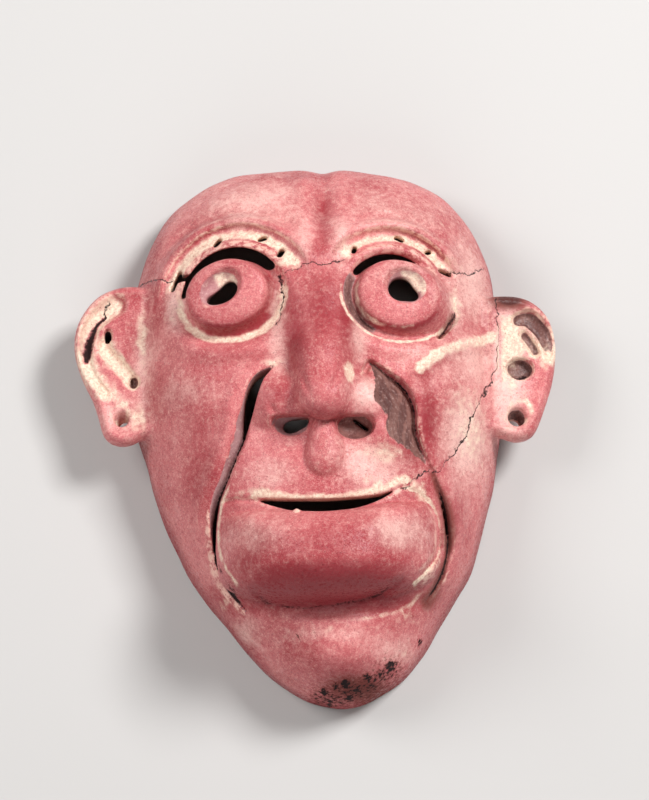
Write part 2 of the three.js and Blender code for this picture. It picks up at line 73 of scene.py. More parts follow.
EYES = (
    Sizes(
        lid=(-32, 44.2), lid_radius=20.2, opening=(-33, 44.2), opening_radius=20.7,
        socket=(-33.8, 45), socket_radii=(22.8, 19.6), socket_depth=2, socket_wall=(0.88, 1.04),
        deepest=(-70, 60), dip=1.6,
        plate=(-35.4, 45.2, 62), plate_radii=(15.9, 12.8), plate_turn=8, plate_fall=(-0.22, -0.10),
        base=(-32.4, 44.6, 47), base_radii=(18.6, 16.2),
        dish=(-38.6, 46.2, 65), dish_radii=(9.9, 7.4, 7.5), dish_turn=36,
        hole=((-41.6, 42, 1.6), (-38.8, 42.9, 2.6), (-35.6, 44.7, 3.2), (-33.8, 47.2, 2.6)),
        slit=((-56, 45.4), (-14, 57)), brow=(24, 168), groove=28, groove_depth=2.8, wrinkle=36.5,
        ring=(0.9, 0.11), shaded=(-130, 30),
    ),
    Sizes(
        lid=(28.5, 44.9), lid_radius=18.8, opening=(28.8, 43.8), opening_radius=18.5,
        socket=(31.2, 45), socket_radii=(22, 18.4), socket_depth=4.6, socket_wall=(0.8, 1),
        deepest=(120, 232), dip=1.2,
        plate=(31, 44.8, 62.4), plate_radii=(15.8, 12.6), plate_turn=-12, plate_fall=(0.10, -0.06),
        base=(31.8, 43.6, 47), base_radii=(20.2, 17),
        dish=(34.4, 47, 65.4), dish_radii=(9.2, 8, 7.2), dish_turn=-8,
        hole=((31.9, 46.4, 4.8), (36.4, 44, 2.6)),
        slit=((8, 53.4), (46, 52.6)), brow=(30, 144), groove=25.7, groove_depth=3.2, wrinkle=33,
        ring=(1.02, 0.05), shaded=(-175, -20),
    ),
)
EYE_GAP = ((53.3, 40.4), (52.6, 38.4), (51.2, 36), (49.3, 32.8), (47.1, 29.8))

CHEEK_RIDGE = ((39, 15.5), (49.3, 23.9), (59.5, 29.2), (69.4, 34.2))

BRIDGE = ((0.3, 62, 45, 8.5), (1, 42, 54, 9.4), (1.6, 20, 63.5, 9.8), (2.2, 3, 70.5, 10))
# Where clay was pushed down beside the nose's ridge and at the left wing
NOSE_CREASES = (
    ((-6.8, 13), (-5.6, 8), (-4.2, 3.4), (-2.2, -0.5)), ((8.6, 12), (6.6, 6.4), (4.8, 1)),
    ((-18.6, 0.8), (-17.2, -2.4), (-14, -4.6)),
)
WINGS = (((-12.6, 2, 54), (14.5, 12.5, 12.6)), ((16.5, 2.4, 55), (16, 12.5, 12.8)))
NOSE_EDGE_Y = -4.2
# Each nostril: the scoop's middle and radii, then the hole through it as in BROW_HOLES, and its end
NOSTRILS = (
    ((-10.8, -7, 63), (7.8, 5, 8), (-8.4, -6.4, 2.4, 1.1, 2.6), 40),
    ((14.2, -8.2, 63), (7.6, 5.2, 7), (16.4, -6.6, 2.6, -2, 0.7), 52),
)
TAB = (((2.4, -19, 60.4), (7.8, 9.8, 6.4)), ((1.9, -10.5, 61.2), (5, 7, 5.6)))

LEFT_FOLD = (
    (-10.6, 10.6), (-12, 14.4), (-15.4, 16.2), (-19.8, 13.8), (-24.4, 8), (-26.6, 1),
    (-27.6, -5), (-28.6, -11.5), (-31.6, -18.4), (-35, -26.5), (-38.2, -33), (-40, -40),
    (-40.4, -48), (-39, -57.5), (-35, -66), (-28, -74.5),
)
RIGHT_FOLD = (
    (18, 14.5), (19.9, 17.9), (23.4, 16.2), (27.6, 13.2), (32.2, 9.6), (35.6, 4.8),
    (37.2, -0.5), (37.6, -7), (39.4, -13.6), (42.2, -19.2), (44.4, -23.6), (46.4, -29.2),
    (48.6, -35), (50, -41.5), (50.4, -48.5), (49.4, -56), (47, -63), (42, -71),
)
# Each fold from its top end (0) to its bottom end (1): where, how high its bottom lies, and how
# steep its wall is on the side of the cheek and on the side of the nose and mouth
LEFT_WALLS = Sizes(
    along=(0, 0.08, 0.12, 0.17, 0.22, 0.30, 0.40, 0.5, 0.62, 0.72, 0.83, 0.94, 1),
    floor=(70, 63, 59.5, 57, 53.5, 51, 49.5, 47, 43, 36, 28.5, 26.5, 30),
    cheek=(4, 4, 3, 2, 2.2, 3.5, 1.5, 1.2, 1.35, 2.6, 6, 6, 6),
    mouth=(4, 4, 4, 6, 6, 6, 6, 6, 6, 6, 6, 6, 6),
)
RIGHT_WALLS = Sizes(
    along=(0, 0.05, 0.10, 0.22, 0.35, 0.47, 0.55, 0.62, 0.68, 0.75, 0.83, 0.92, 1),
    floor=(58, 56.5, 55, 51.5, 50, 48.5, 47.5, 45, 41.5, 37, 31.5, 28, 29),
    cheek=(4, 4, 5, 5, 5, 5, 3, 2, 1.5, 1.2, 1.2, 1.3, 1.5),
    mouth=(3, 2, 1.2, 1.1, 1.15, 1.2, 1.1, 1.4, 2.4, 4, 4, 4, 4),
)
FOLDS = ((LEFT_FOLD, LEFT_WALLS, -1), (RIGHT_FOLD, RIGHT_WALLS, 1))
MOUTH = (
    (-22.6, -35.9), (-20, -36.5), (-12, -38.2), (-4, -39.2), (4, -39.3), (15, -37.6), (24, -35),
    (32.4, -30.4),
)
# Slots cut through: line, half width, lowest level, taper, and how soft the edge is
SLOTS = (
    (MOUTH, 2.8, 35, 1.25, 0.8),
    (((-17.6, 15.2), (-22.4, 11.6), (-25.2, 6), (-26.8, -1.5), (-28.6, -11)), 2.5, 30, 0.8, 0.6),
    (((-38.6, -34), (-40.1, -42), (-40.2, -53)), 0.8, 15, 0.5, 0.6),
    (((46.8, -31.5), (49.6, -42), (50.2, -51)), 0.55, 10, 0.5, 0.6),
)
MUZZLE = (4.2, -36, 20), (44, 50, 41.5)
LIP, LIP_RADII, LIP_DROOP = (4, -57.6, 46), (43, 19, 31.5), 13 / 44**2
# Sharp creases that bound the pad: over its left end, round its right end and under it
PAD_CREASES = (
    ((-37, -35.6), (-32, -34.8), (-26, -35.6), (-20.5, -36.6)),
    ((31, -31), (38.5, -32.6), (44, -37), (46.6, -44), (46.4, -52), (43, -60), (37, -66.6)),
    ((-27, -69), (-19, -73.6), (-9, -75.6), (1, -75.9), (16, -73.4), (26, -70.2), (34, -66)),
)
LIP_PELLET = (-8, -42.6, 66.6)
# Holes through the brows: middle, half a length to the right and up, and radius
BROW_HOLES = (
    (-55.6, 54.2, 1.5, 3.3, 0.9), (-53.4, 54.9, 1.6, 0.3, 1.3), (-39.4, 67.8, 0.8, 0.9, 1.1),
    (-21.8, 68.2, 1, 0.3, 1), (-14.6, 61.6, 0.5, 0.8, 1.2),
    (14, 63.2, 0.2, 0.8, 1), (31.6, 69.2, 1.1, -0.5, 1), (43, 65, 0.6, 0.3, 0.9),
    (49.6, 57.2, 1.8, -0.6, 0.9),
)

EARS = (
    Sizes(
        outline=(
            (-62, 54.5), (-69.5, 55.2), (-75.5, 55.6), (-81.8, 54.4), (-87.7, 51.4), (-92.6, 45.9),
            (-95.7, 39.4), (-96.6, 32.4), (-95.6, 25.4), (-92.8, 17.5), (-89, 9.8), (-86.4, 2.1),
            (-84.9, -3.3), (-82.5, -6.6), (-78.5, -8.3), (-74, -8.1), (-69, -6), (-62, -4),
        ),
        outer=(
            (-80.8, 47.5), (-83.8, 45.6), (-87.3, 42.6), (-90, 38.6), (-91.4, 33.4), (-91.8, 28.3),
            (-91, 23.3), (-88.4, 17.7), (-83.5, 12),
        ),
        outer_width=(5, 4.4, 3, 2.2, 1.6), outer_depth=(2.6, 3.4, 4.6, 1.8, 1.2),
        inner=((-84.6, 32), (-82.9, 28.1), (-78.9, 24), (-74.9, 19), (-72.9, 16.5)),
        inner_width=2.7, inner_depth=2.8,
        pits=((-83.2, 35.4, 1.5, 2.6, 7), (-72.7, 16.4, 1.9, 2.7, 2.6)),
        dark=((-84.8, 43), (-87.6, 40.2), (-89.9, 35.4), (-91, 30), (-91.6, 25.2)), dark_width=1.7,
        lobe_hole=((-78.2, 3.8, 33), (-76.2, -0.9, 20), 3.3, 2.5),
    ),
    Sizes(
        outline=(
            (64, 50.6), (70.9, 51.6), (78.1, 51.6), (84, 49.9), (89.1, 45.9), (92.2, 40.6),
            (93.9, 32.4), (93.6, 24.3), (92.3, 16.3), (89.8, 8.2), (87.4, 1.3), (85, -3.5),
            (81.8, -5.9), (77.1, -6.7), (71.6, -5.1), (64, -3),
        ),
        outer=((79.2, 41.8), (83.4, 42.2), (87.2, 39.2), (89.6, 35.2), (90.7, 31.2), (90.9, 26.6)),
        outer_width=(3, 4.2, 3.7, 3, 1.4), outer_depth=(3.4, 4.4, 4.8, 4.2, 2.6),
        inner=((81.6, 35.6), (84, 32.4), (85.8, 29.4)),
        inner_width=2.2, inner_depth=3.4,
        pits=((79.6, 22, 5.5, 4.3, 5),),
        dark=((76.4, 18.8), (79, 18.2), (82, 19.4)), dark_width=1,
        lobe_hole=((79.4, 4.9, 33), (76.6, -0.6, 19), 4.4, 2.6),
    ),
)
EAR_MIDDLE, EAR_THICK, EAR_FALL, EAR_ROOT = 24, 9.5, 0.12, 70

# A streak of dust under the lip, and where the slip is painted brown: by the crust on the chin, and as
# painted shade at the top of the right ear and under the pad
CREAM_STREAK = ((12, -81), (24, -78.6), (34, -74.4), (41, -68))
BROWNED_AND_SHADED = ((75.5, 49.6, 7.5, 3.6, 1.6), (15, -104.5, 15, 4.5, 1), (4, -79, 26, 2.4, 0.35))

# Breaks that were joined again, as lines on the front
CRACKS = (
    ((-71.5, 58), (-66.6, 57.2), (-62.3, 55.5), (-57.3, 54.4)),
    ((-12.8, 52.8), (-8.6, 54.4), (-3.1, 56.5), (1.5, 55.7), (5.8, 57.2), (10.5, 58)),
    ((49.7, 57.2), (53.7, 57.7), (58.2, 58.3), (63, 62), (67.5, 65)),
    ((70.2, 50.5), (70.6, 45), (71, 37.5), (71.3, 28.6), (69.7, 22.1), (67.6, 15.5), (64.2, 9.6)),
    ((64.2, 9.6), (60.9, 2.3), (57.6, -5.9), (54.8, -11.7), (50.4, -17.7), (47.2, -22), (43.7, -23.3)),
    ((31.5, -31.8), (36.2, -28.6), (40.1, -24.6), (43.3, -22.6)),
    ((-82.9, 49.4), (-84, 45.6), (-84.8, 43.2), (-87.4, 40.2)),
    ((-14.8, 53.1), (-13.5, 44.8), (-14.3, 37.6), (-16.6, 32.1)),
)

# The black crust on the chin: the line it lies along, and its lumps as middle and radius
CRUST = ((0, -107.5), (8, -107.5), (16, -105), (24, -100.5), (29, -96.5))
CRUST_LUMPS = (
    (2.3, -105.6, 1.3), (6.6, -104.2, 1.2), (10.5, -103.4, 1.9), (15.2, -105, 1.3), (19.5, -101.2, 1.5),
    (24.2, -99.4, 1.2), (28, -96.4, 2), (39.7, -85.2, 1.1), (12.4, -107.4, 1.3), (21.6, -103.4, 1.1),
    (-8, -86.5, 0.6), (4.6, -108.6, 1.1),
)

# Where the dust lies thick, with painted highlights on the nose, the right forehead, the right cheek and the
# pad among these patches, and where the slip is dark: middle, half width, half height, amount
DUST_AND_SHEEN = (
    (23, -18.5, 14, 6, 0.75), (22, -29, 12, 4, 0.6), (-17, 17, 6, 3, 0.9), (-13, 58.5, 4.5, 5, 0.9),
    (11, 61, 5, 6, 0.7), (11.9, 11.3, 2.4, 5, 1.2), (8, -84, 34, 4, 0.5), (34, -78, 8, 4, 0.7),
    (34, -91, 4, 6, 0.6),
    (50, 76, 18, 14, 0.4), (60, 27, 13, 8, 0.5), (58, -4, 11, 22, 0.7),
    (-69.5, 28, 3.4, 24, 0.75), (-70, 2, 6, 9, 0.8), (76, 30, 6, 18, 1.4), (75, 13, 9, 5, 0.9),
    (75, 2, 5, 10, 0.55), (-12, -16, 10, 9, 0.4), (39, -31, 5, 7, 0.7),
    (-57, 40, 5, 8, 0.6), (-16, 42, 3, 12, 0.6), (54, 44, 4, 12, 0.7),
    (-60, 66, 8, 7, 0.4), (44, 20, 8, 4, 0.7), (52, 60, 7, 6, 0.6),
    (-30, 84, 20, 8, 0.35), (14, 84, 8, 12, 0.35), (30, -50, 9, 6, 0.35),
    (46, -66, 5, 7, 0.7), (-36, -70, 4, 7, 0.6),
    (-26, -32, 9, 2.5, 0.6), (-8, -42.6, 1.7, 1.5, 1.1),
)
# Heights between which dust, wear and painted highlights fade out, towards the rim
LOW_SIDES = 4, 20
# Where the slip is rubbed pale; on the pad, the forehead and the right cheek these are painted highlights as
# well
WORN_AND_SHEEN = (
    (-26, 86, 26, 14, 0.7), (32, 82, 26, 16, 0.5), (60, 56, 14, 22, 0.75),
    (-5.5, 66, 4, 14, 0.6), (9, 66, 4.5, 14, 0.7),
    (60, 20, 16, 16, 0.65), (58, -8, 12, 24, 0.9), (19, 4, 8, 8, 0.9),
    (20, -24, 17, 11, 0.75), (-20, -26, 14, 9, 0.5), (40, 22, 14, 6, 0.55),
    (-68, 26, 6, 30, 0.6), (31, -50, 13, 9, 0.8), (-24, -52, 12, 9, 0.55),
    (-16, 30, 4, 20, 0.7), (16, 26, 4, 14, 0.8), (-52, 8, 14, 8, 0.4),
    (27, -90, 12, 7, 0.6), (-30, -84, 12, 8, 0.6), (4, -86, 34, 3, 0.5),
    (54, 44, 5, 14, 0.8), (-56, 44, 5, 12, 0.8), (34, 52, 14, 8, 0.4),
    (75, 20, 8, 34, 1), (-78, 2, 10, 10, 0.5),
)
# Where the slip is dark red; the patches under the nose, along the pad's underside and at the top of the
# right ear are painted shade
DARK_RED_AND_SHADE = (
    (73, 48.5, 8, 4, 1),
    (-9, 30, 7, 20, 1), (10.5, 33, 5.5, 16, 1), (1.5, 78, 4, 20, 0.8),
    (4, -58, 40, 18, 0.65), (4, -70, 40, 8.5, 1.5), (-28, -62, 10, 8, 0.8), (42.5, -4, 4.5, 17, 0.9),
    (2, 38, 11, 20, 0.9), (1, 60, 5, 10, 0.5),
    (37, -17, 6, 7, 0.9), (-28, 20, 17, 4, 0.6), (-46, -20, 10, 26, 0.5),
    (2, -6, 22, 4, 0.7), (-28, 80, 16, 3, 0.5), (-15, 3, 9, 7, 0.7),
    (55, -36, 5, 20, 0.6), (16, -100, 26, 8, 0.6), (6, -91, 20, 7, 0.35),
    (-58, 20, 8, 16, 0.35), (34, 78, 16, 3, 0.4),
)


# Small pieces of arithmetic on whole arrays


def hill(distance, width):
    return np.exp(-((distance / width) ** 2))


def rise(value, start, end):
    share = np.clip((value - start) / (end - start), 0, 1)
    return share * share * (3 - 2 * share)


def fall(value, start, end):
    return 1 - rise(value, start, end)


def joined(a, b, fillet):
    near = np.maximum(fillet - np.abs(a - b), 0) / fillet
    return np.minimum(a, b) - near * near * fillet / 4


def common(a, b, fillet):
    return -joined(-a, -b, fillet)


def cut(form, tool, fillet):
    return common(form, -tool, fillet)


def ball(x, y, z, at, radii):
    px, py, pz = (x - at[0]) / radii[0], (y - at[1]) / radii[1], (z - at[2]) / radii[2]
    inner = np.sqrt(px * px + py * py + pz * pz) + 1e-6
    slope = np.sqrt((px / radii[0]) ** 2 + (py / radii[1]) ** 2 + (pz / radii[2]) ** 2) + 1e-9
    return inner * (inner - 1) / slope


def bar(x, y, z, start, end, start_radius, end_radius):
    ex, ey, ez = (end[i] - start[i] for i in range(3))
    px, py, pz = x - start[0], y - start[1], z - start[2]
    share = np.clip((px * ex + py * ey + pz * ez) / (ex * ex + ey * ey + ez * ez), 0, 1)
    away = np.sqrt((px - share * ex) ** 2 + (py - share * ey) ** 2 + (pz - share * ez) ** 2)
    return away - start_radius - (end_radius - start_radius) * share


def turned(x, y, at, degrees):
    """Places about a point, on axes turned by so many degrees."""
    c, s = math.cos(math.radians(degrees)), math.sin(math.radians(degrees))
    dx, dy = x - at[0], y - at[1]
    return dx * c + dy * s, dy * c - dx * s


def flowing(points, steps=6):
    """A smooth line through the points."""
    p = np.array(points, float)
    p = np.vstack([2 * p[0] - p[1], p, 2 * p[-1] - p[-2]])
    line = []
    for a, b, c, d in zip(p, p[1:], p[2:], p[3:]):
        for t in np.arange(steps) / steps:
            bend = (2 * a - 5 * b + 4 * c - d) * t**2 + (3 * b - a - 3 * c + d) * t**3
            line.append(0.5 * (2 * b + (c - a) * t + bend))
    line.append(p[-2])
    return np.array(line)


def segments(x, y, line):
    """For each segment: how far along the line, its run, and the way from it to each place."""
    for i, ((ax, ay), (bx, by)) in enumerate(zip(line, line[1:])):
        ex, ey = bx - ax, by - ay
        t = np.clip(((x - ax) * ex + (y - ay) * ey) / (ex * ex + ey * ey), 0, 1)
        yield i + t, ex, ey, x - ax - t * ex, y - ay - t * ey


def beside(x, y, points, steps=6):
    """How far from a line, on which side (1 on its left), and how far along it, 0 to 1."""
    line = flowing(points, steps)
    nearest = np.full(np.broadcast(x, y).shape, 1e9, np.float32)
    side, share = np.zeros_like(nearest), np.zeros_like(nearest)
    for along, ex, ey, dx, dy in segments(x, y, line):
        away = np.sqrt(dx * dx + dy * dy)
        closer = away < nearest
        nearest = np.where(closer, away, nearest)
        share = np.where(closer, along / (len(line) - 1), share)
        side = np.where(closer, np.sign(ex * dy - ey * dx), side)
    return nearest, side, share


def evened_share(x, y, points, away, reach=6):
    """How far along a line, 0 to 1, without a jump where two parts of it are about as near."""
    line = flowing(points)
    total, weights = 0, 0
    for along, _, _, dx, dy in segments(x, y, line):
        weight = np.exp(np.minimum(away * away - (dx**2 + dy**2), 0) / reach**2)
        total, weights = total + weight * along / (len(line) - 1), weights + weight
    return total / weights


def inside_outline(x, y, points):
    """How far outside a closed outline, negative inside it."""
    line = flowing(points, 3)
    nearest = np.full(np.broadcast(x, y).shape, 1e9, np.float32)
    within = np.zeros(nearest.shape, bool)
    for (ax, ay), (bx, by) in zip(line, np.roll(line, -1, axis=0)):
        ex, ey = bx - ax, by - ay
        t = np.clip(((x - ax) * ex + (y - ay) * ey) / (ex * ex + ey * ey + 1e-9), 0, 1)
        nearest = np.minimum(nearest, np.hypot(x - ax - t * ex, y - ay - t * ey))
        crosses = ((ay > y) != (by > y)) & (x < ex * (y - ay) / (ey + 1e-12) + ax)
        within ^= crosses
    return np.where(within, -nearest, nearest)


def facing(x, y, at, span, soft=14):
    """1 where a place lies in a span of degrees round a centre, fading to 0 outside it."""
    turn = np.degrees(np.arctan2(y - at[1], x - at[0]))
    middle, half = (span[0] + span[1]) / 2, (span[1] - span[0]) / 2
    away = np.abs(np.mod(turn - middle + 180, 360) - 180)
    return rise(half + soft - away, 0, 2 * soft)


def oval(x, y, at, radii):
    return np.hypot((x - at[0]) / radii[0], (y - at[1]) / radii[1])


def mounds(x, y, places):
    return [amount * hill(oval(x, y, (px, py), (wide, high)), 1) for px, py, wide, high, amount in places]


def off(x, y, at):
    return np.hypot(x - at[0], y - at[1])


def in_socket(x, y, eye):
    """0 in the middle of a socket and 1 at its edge."""
    return oval(x, y, eye.socket, eye.socket_radii)


def on_dish(x, y, eye):
    """The way from the middle of a pupil's dish, on its own axes, as a share of its radii."""
    dx, dy = turned(x, y, eye.dish, eye.dish_turn)
    return np.hypot(dx / eye.dish_radii[0], dy / eye.dish_radii[1])


def above_ear(x, z):
    """How high over the middle of the ears' thickness."""
    return z - EAR_MIDDLE + EAR_FALL * (np.abs(x) - EAR_ROOT)


# The form. Each function is negative inside the clay.


def shell(x, y, z):
    along = y - WIDEST_Y
    reach = np.where(along > 0, FOREHEAD_REACH, CHIN_REACH)
    down = np.clip(-along / CHIN_REACH, 0, 1)
    power = 1.82 + 1.1 * rise(along, -40, 30)
    wide = HALF_WIDTH * (1 - JAW_PINCH * hill(down - 0.78, 0.12))
    middle = CHIN_DRIFT * down**1.5 - BROW_DRIFT * rise(along, -40, 20)
    u = np.abs(x - middle) / wide + 1e-6
    v = np.abs(along) / reach + 1e-6
    w = np.maximum(z, 0) / DEPTH + 1e-6
    plan = (u**power + v**power) ** (1 / power)
    full = (plan**SECTION_POWER + w**SECTION_POWER) ** (1 / SECTION_POWER)
    lean = (plan / full) ** (SECTION_POWER - 1)
    gx = lean * (u / plan) ** (power - 1) / wide
    gy = lean * (v / plan) ** (power - 1) / reach
    gz = np.where(z > 0, (w / full) ** (SECTION_POWER - 1) / DEPTH, 0)
    return (full - 1) / np.maximum(np.sqrt(gx * gx + gy * gy + gz * gz), 0.006)


def broad_relief(x, y):
    """Swellings and dips that the back of the wall follows too."""
    height = sum(mounds(x, y, SWELLINGS))
    for eye in EYES:
        out = in_socket(x, y, eye)
        height -= eye.dip * fall(out, 0.75, 1.12)
        height += 2.8 * hill(off(x, y, eye.lid) - 30, 6) * facing(x, y, eye.lid, eye.brow)
        height += 2.0 * hill(out - 1.22, 0.2) * facing(x, y, eye.socket, (195, 345))
    return height


def eye_relief(x, y, eye):
    """The lid band, the groove and ridge of the brow above it, and the step down to the socket."""
    away = off(x, y, eye.lid)
    above = facing(x, y, eye.lid, eye.brow)
    height = 2.0 * hill(away - eye.lid_radius - 0.8, 1.8) * above
    out = away - eye.groove
    groove = np.where(out < 0, hill(out, 3.0), fall(out, 1.5, 2.9))
    height = height - eye.groove_depth * groove * above
    height += 1.4 * hill(out - 5.2, 2.2) * above
    span = (eye.brow[0] + 22, eye.brow[1] - 30)
    height -= 2.2 * hill(away - eye.wrinkle, 2.4) * facing(x, y, eye.lid, span)
    depth = eye.socket_depth * (0.45 + 0.55 * facing(x, y, eye.socket, eye.deepest))
    return height - depth * fall(in_socket(x, y, eye), *eye.socket_wall)


def fine_relief(x, y):
    height = -3.2 * hill(x - 1.5, 3.6) * rise(y, 56, 74)
    height = height + 1.2 * (hill(x - 9.5, 4.0) + hill(x + 6.5, 4.0)) * rise(y, 60, 72)
    height = height + 1.6 * hill(oval(x, y, (-3, 94), (9, 9)), 1)
    for eye in EYES:
        height += eye_relief(x, y, eye)
    height += 6.5 * hill(oval(x, y, (26, -9), (9, 9.5)), 1)
    away, _, _ = beside(x, y, CHEEK_RIDGE)
    height += 3.2 * hill(away, 3.4)
    away, _, share = beside(x, y, EYE_GAP)
    height -= 4.0 * fall(away / (2.4 - 1.2 * share), 0.2, 1.3)
    out = oval(x, y, LIP, LIP_RADII)
    height -= 2.5 * hill(out - 1.08, 0.14) * rise(-y, 60, 72)
    corner = rise(y, -62, -50) * rise(np.abs(x - 4), 24, 30)
    height -= 1.6 * hill(out - 1.05, 0.07) * corner
    for (line, _, cheek_side), (high, out, wide) in zip(FOLDS, ((1.4, 7, 3), (2, 4, 3.5))):
        away, side, share = beside(x, y, line)
        ends = rise(share, 0.1, 0.3) * fall(share, 0.8, 1)
        height += high * hill(away - out, wide) * (side == cheek_side) * ends
    for line in CRACKS:
        away, _, _ = beside(x, y, line, 3)
        height -= 0.5 * hill(away, 0.6)
    return height


def nose(x, y, z):
    form = None
    for (ax, ay, az, ar), (bx, by, bz, br) in zip(BRIDGE, BRIDGE[1:]):
        part = bar(x, y, z, (ax, ay, az), (bx, by, bz), ar, br)
        form = part if form is None else joined(form, part, 6)
    for at, radii in WINGS:
        form = joined(form, ball(x, y, z, at, radii), 7)
    for line in NOSE_CREASES:
        away, _, share = beside(x, y, line, 3)
        form = form + 0.9 * hill(away, 1.1) * np.sin(np.pi * np.clip(share, 0.1, 0.9))
    edge = 4.4 + 2.2 * hill(x - 1.8, 7) + 14 * (rise(x, 20, 29) + rise(-x, 15, 22))
    under = -(y + edge + 0.2 * (z - 62)) * 0.97
    return common(form, under, 2.0)


def lip(x, y, z):
    dx, dy = x - LIP[0], y - LIP[1]
    dy = dy - (0.05 * dx + 0.0032 * dx * dx) * rise(dy, -6, 14)
    dy = dy - (0.05 * dx + 0.12 * np.abs(dy)) * rise(-dy, 0, 8)
    dz = z - LIP[2] + LIP_DROOP * dx * dx
    u, v, w = (np.abs(d) / r + 1e-5 for d, r in zip((dx, dy, dz), LIP_RADII))
    square = 2.3 + 3.2 * rise(dy, -8, 8)
    full = ((u**square + v**square) ** (2.4 / square) + w**2.2) ** (1 / 2.4)
    return (full - 1) * LIP_RADII[1]


def turret_side(x, y, z, eye):
    plate, base = eye.plate, eye.base
    share = np.clip((plate[2] - z) / (plate[2] - base[2]), -0.5, 1.6)
    at = [plate[i] + (base[i] - plate[i]) * share for i in (0, 1)]
    radii = [a + (b - a) * share for a, b in zip(eye.plate_radii, eye.base_radii)]
    dx, dy = turned(x - at[0], y - at[1], (0, 0), eye.plate_turn)
    out = np.sqrt((dx / radii[0]) ** 2 + (dy / radii[1]) ** 2)
    return (out - 1) * (radii[0] + radii[1]) / 2


def turret(x, y, z, eye):
    plate, lean = eye.plate, eye.plate_fall
    dx, dy = x - plate[0], y - plate[1]
    crown = 0.006 * (dx * dx + dy * dy)
    top = (z - plate[2] - 0.7 + lean[0] * dx + lean[1] * dy + crown) * 0.96
    return common(turret_side(x, y, z, eye), top, 2.6)


def pupil(x, y, z, eye):
    """The scooped dish on an eye and the hole cut through from it."""
    dx, dy = turned(x, y, eye.dish, eye.dish_turn)
    dish = ball(dx, dy, z - eye.dish[2], (0, 0, 0), eye.dish_radii)
    hole = 99.0
    for px, py, radius in eye.hole:
        hole = joined(hole, np.hypot(x - px, y - py) - radius, 2.5)
    return np.minimum(dish, np.maximum(hole, 30 - z))


def lid_slit(x, y, z, eye, depth):
    """The open crescent over an eye. It is cut wider towards the back, so the lid's edge is thin."""
    lid = off(x, y, eye.opening) - eye.opening_radius - 0.3 * np.clip(depth - 0.5, 0, 8)
    (x0, y0), (x1, y1) = eye.slit
    above = ((x1 - x0) * (y - y0) - (y1 - y0) * (x - x0)) / math.hypot(x1 - x0, y1 - y0)
    clear = turret_side(x, y, np.maximum(z, 50), eye) - 0.3
    opening = common(common(lid, -clear, 0.8), -above, 2.0)
    return np.maximum(opening, 26 - z)


def ear_form(x, y, z, ear):
    edge = inside_outline(x, y, ear.outline)
    relief = 1.2 * hill(edge + 2.6, 2.0)
    away, _, share = beside(x, y, ear.outer)
    stations = (0, 0.25, 0.5, 0.75, 1)
    wide = np.interp(share, stations, ear.outer_width)
    depth = np.interp(share, stations, ear.outer_depth)
    relief = relief - depth * fall(away / wide, 0.5, 1.15)
    away, _, _ = beside(x, y, ear.inner)
    relief -= ear.inner_depth * fall(away / ear.inner_width, 0.3, 1.4)
    for px, py, rx, ry, deep in ear.pits:
        relief -= deep * fall(oval(x, y, (px, py), (rx, ry)), 0.7, 1.1)
    height = above_ear(x, z)
    faces = np.maximum(height - EAR_THICK / 2 - relief, -height - EAR_THICK / 2)
    return common(edge, faces, 4.0)


def fold(x, y, z, line, walls, cheek_side):
    """The space in a fold, and the marks of the tool on its wall towards the mouth."""
    away, side, _ = beside(x, y, line)
    share = evened_share(x, y, line, away)
    cheek, mouth, bottom = (
        np.interp(share, walls.along, one) for one in (walls.cheek, walls.mouth, walls.floor)
    )
    slope = np.where(side * cheek_side > 0, cheek, mouth)
    marks = 0.3 * np.sin(2.6 * away + 2.0 * np.sin(17 * share)) * (side * cheek_side < 0)
    steep = np.sqrt(1 + slope * slope)
    return (bottom + slope * away - z) / steep, marks / steep


def pierced(x, y, z, hole, lowest):
    """A long round hole, straight through from the front down to a level."""
    px, py, right, up, radius = hole
    length = right * right + up * up + 1e-6
    along = np.clip(((x - px) * right + (y - py) * up) / length, -1, 1)
    out = np.hypot(x - px - along * right, y - py - along * up) - radius
    return np.maximum(out, lowest - z)


def slot(x, y, z, line, half, lowest, power):
    away, _, share = beside(x, y, line)
    opening = away - half * np.maximum(np.sin(np.pi * share), 0) ** power + 0.1
    return np.maximum(opening, lowest - z)


def hand_wobble(x, y, z):
    """Small unevenness left by the fingers, as a sum of slow waves."""
    chance = np.random.default_rng(4)
    total = 0
    for _ in range(10):
        way = chance.normal(size=3)
        way *= 2 * np.pi / chance.uniform(12, 34) / np.linalg.norm(way)
        total = total + np.cos(way[0] * x + way[1] * y + way[2] * z + chance.uniform(0, 6.3))
    return 0.09 * total


def face(x, y, z, broad, fine, nose_form):
    """Forehead, cheeks, muzzle and nose, before the folds are cut and the eyes and lip are set on."""
    form = joined(shell(x, y, z - broad - fine), ball(x, y, z - fine, *MUZZLE), MUZZLE_BLEND)
    return joined(form, nose_form, 2.5 + 5 * rise(y, -4, 10) + 6 * rise(y, 12, 34))


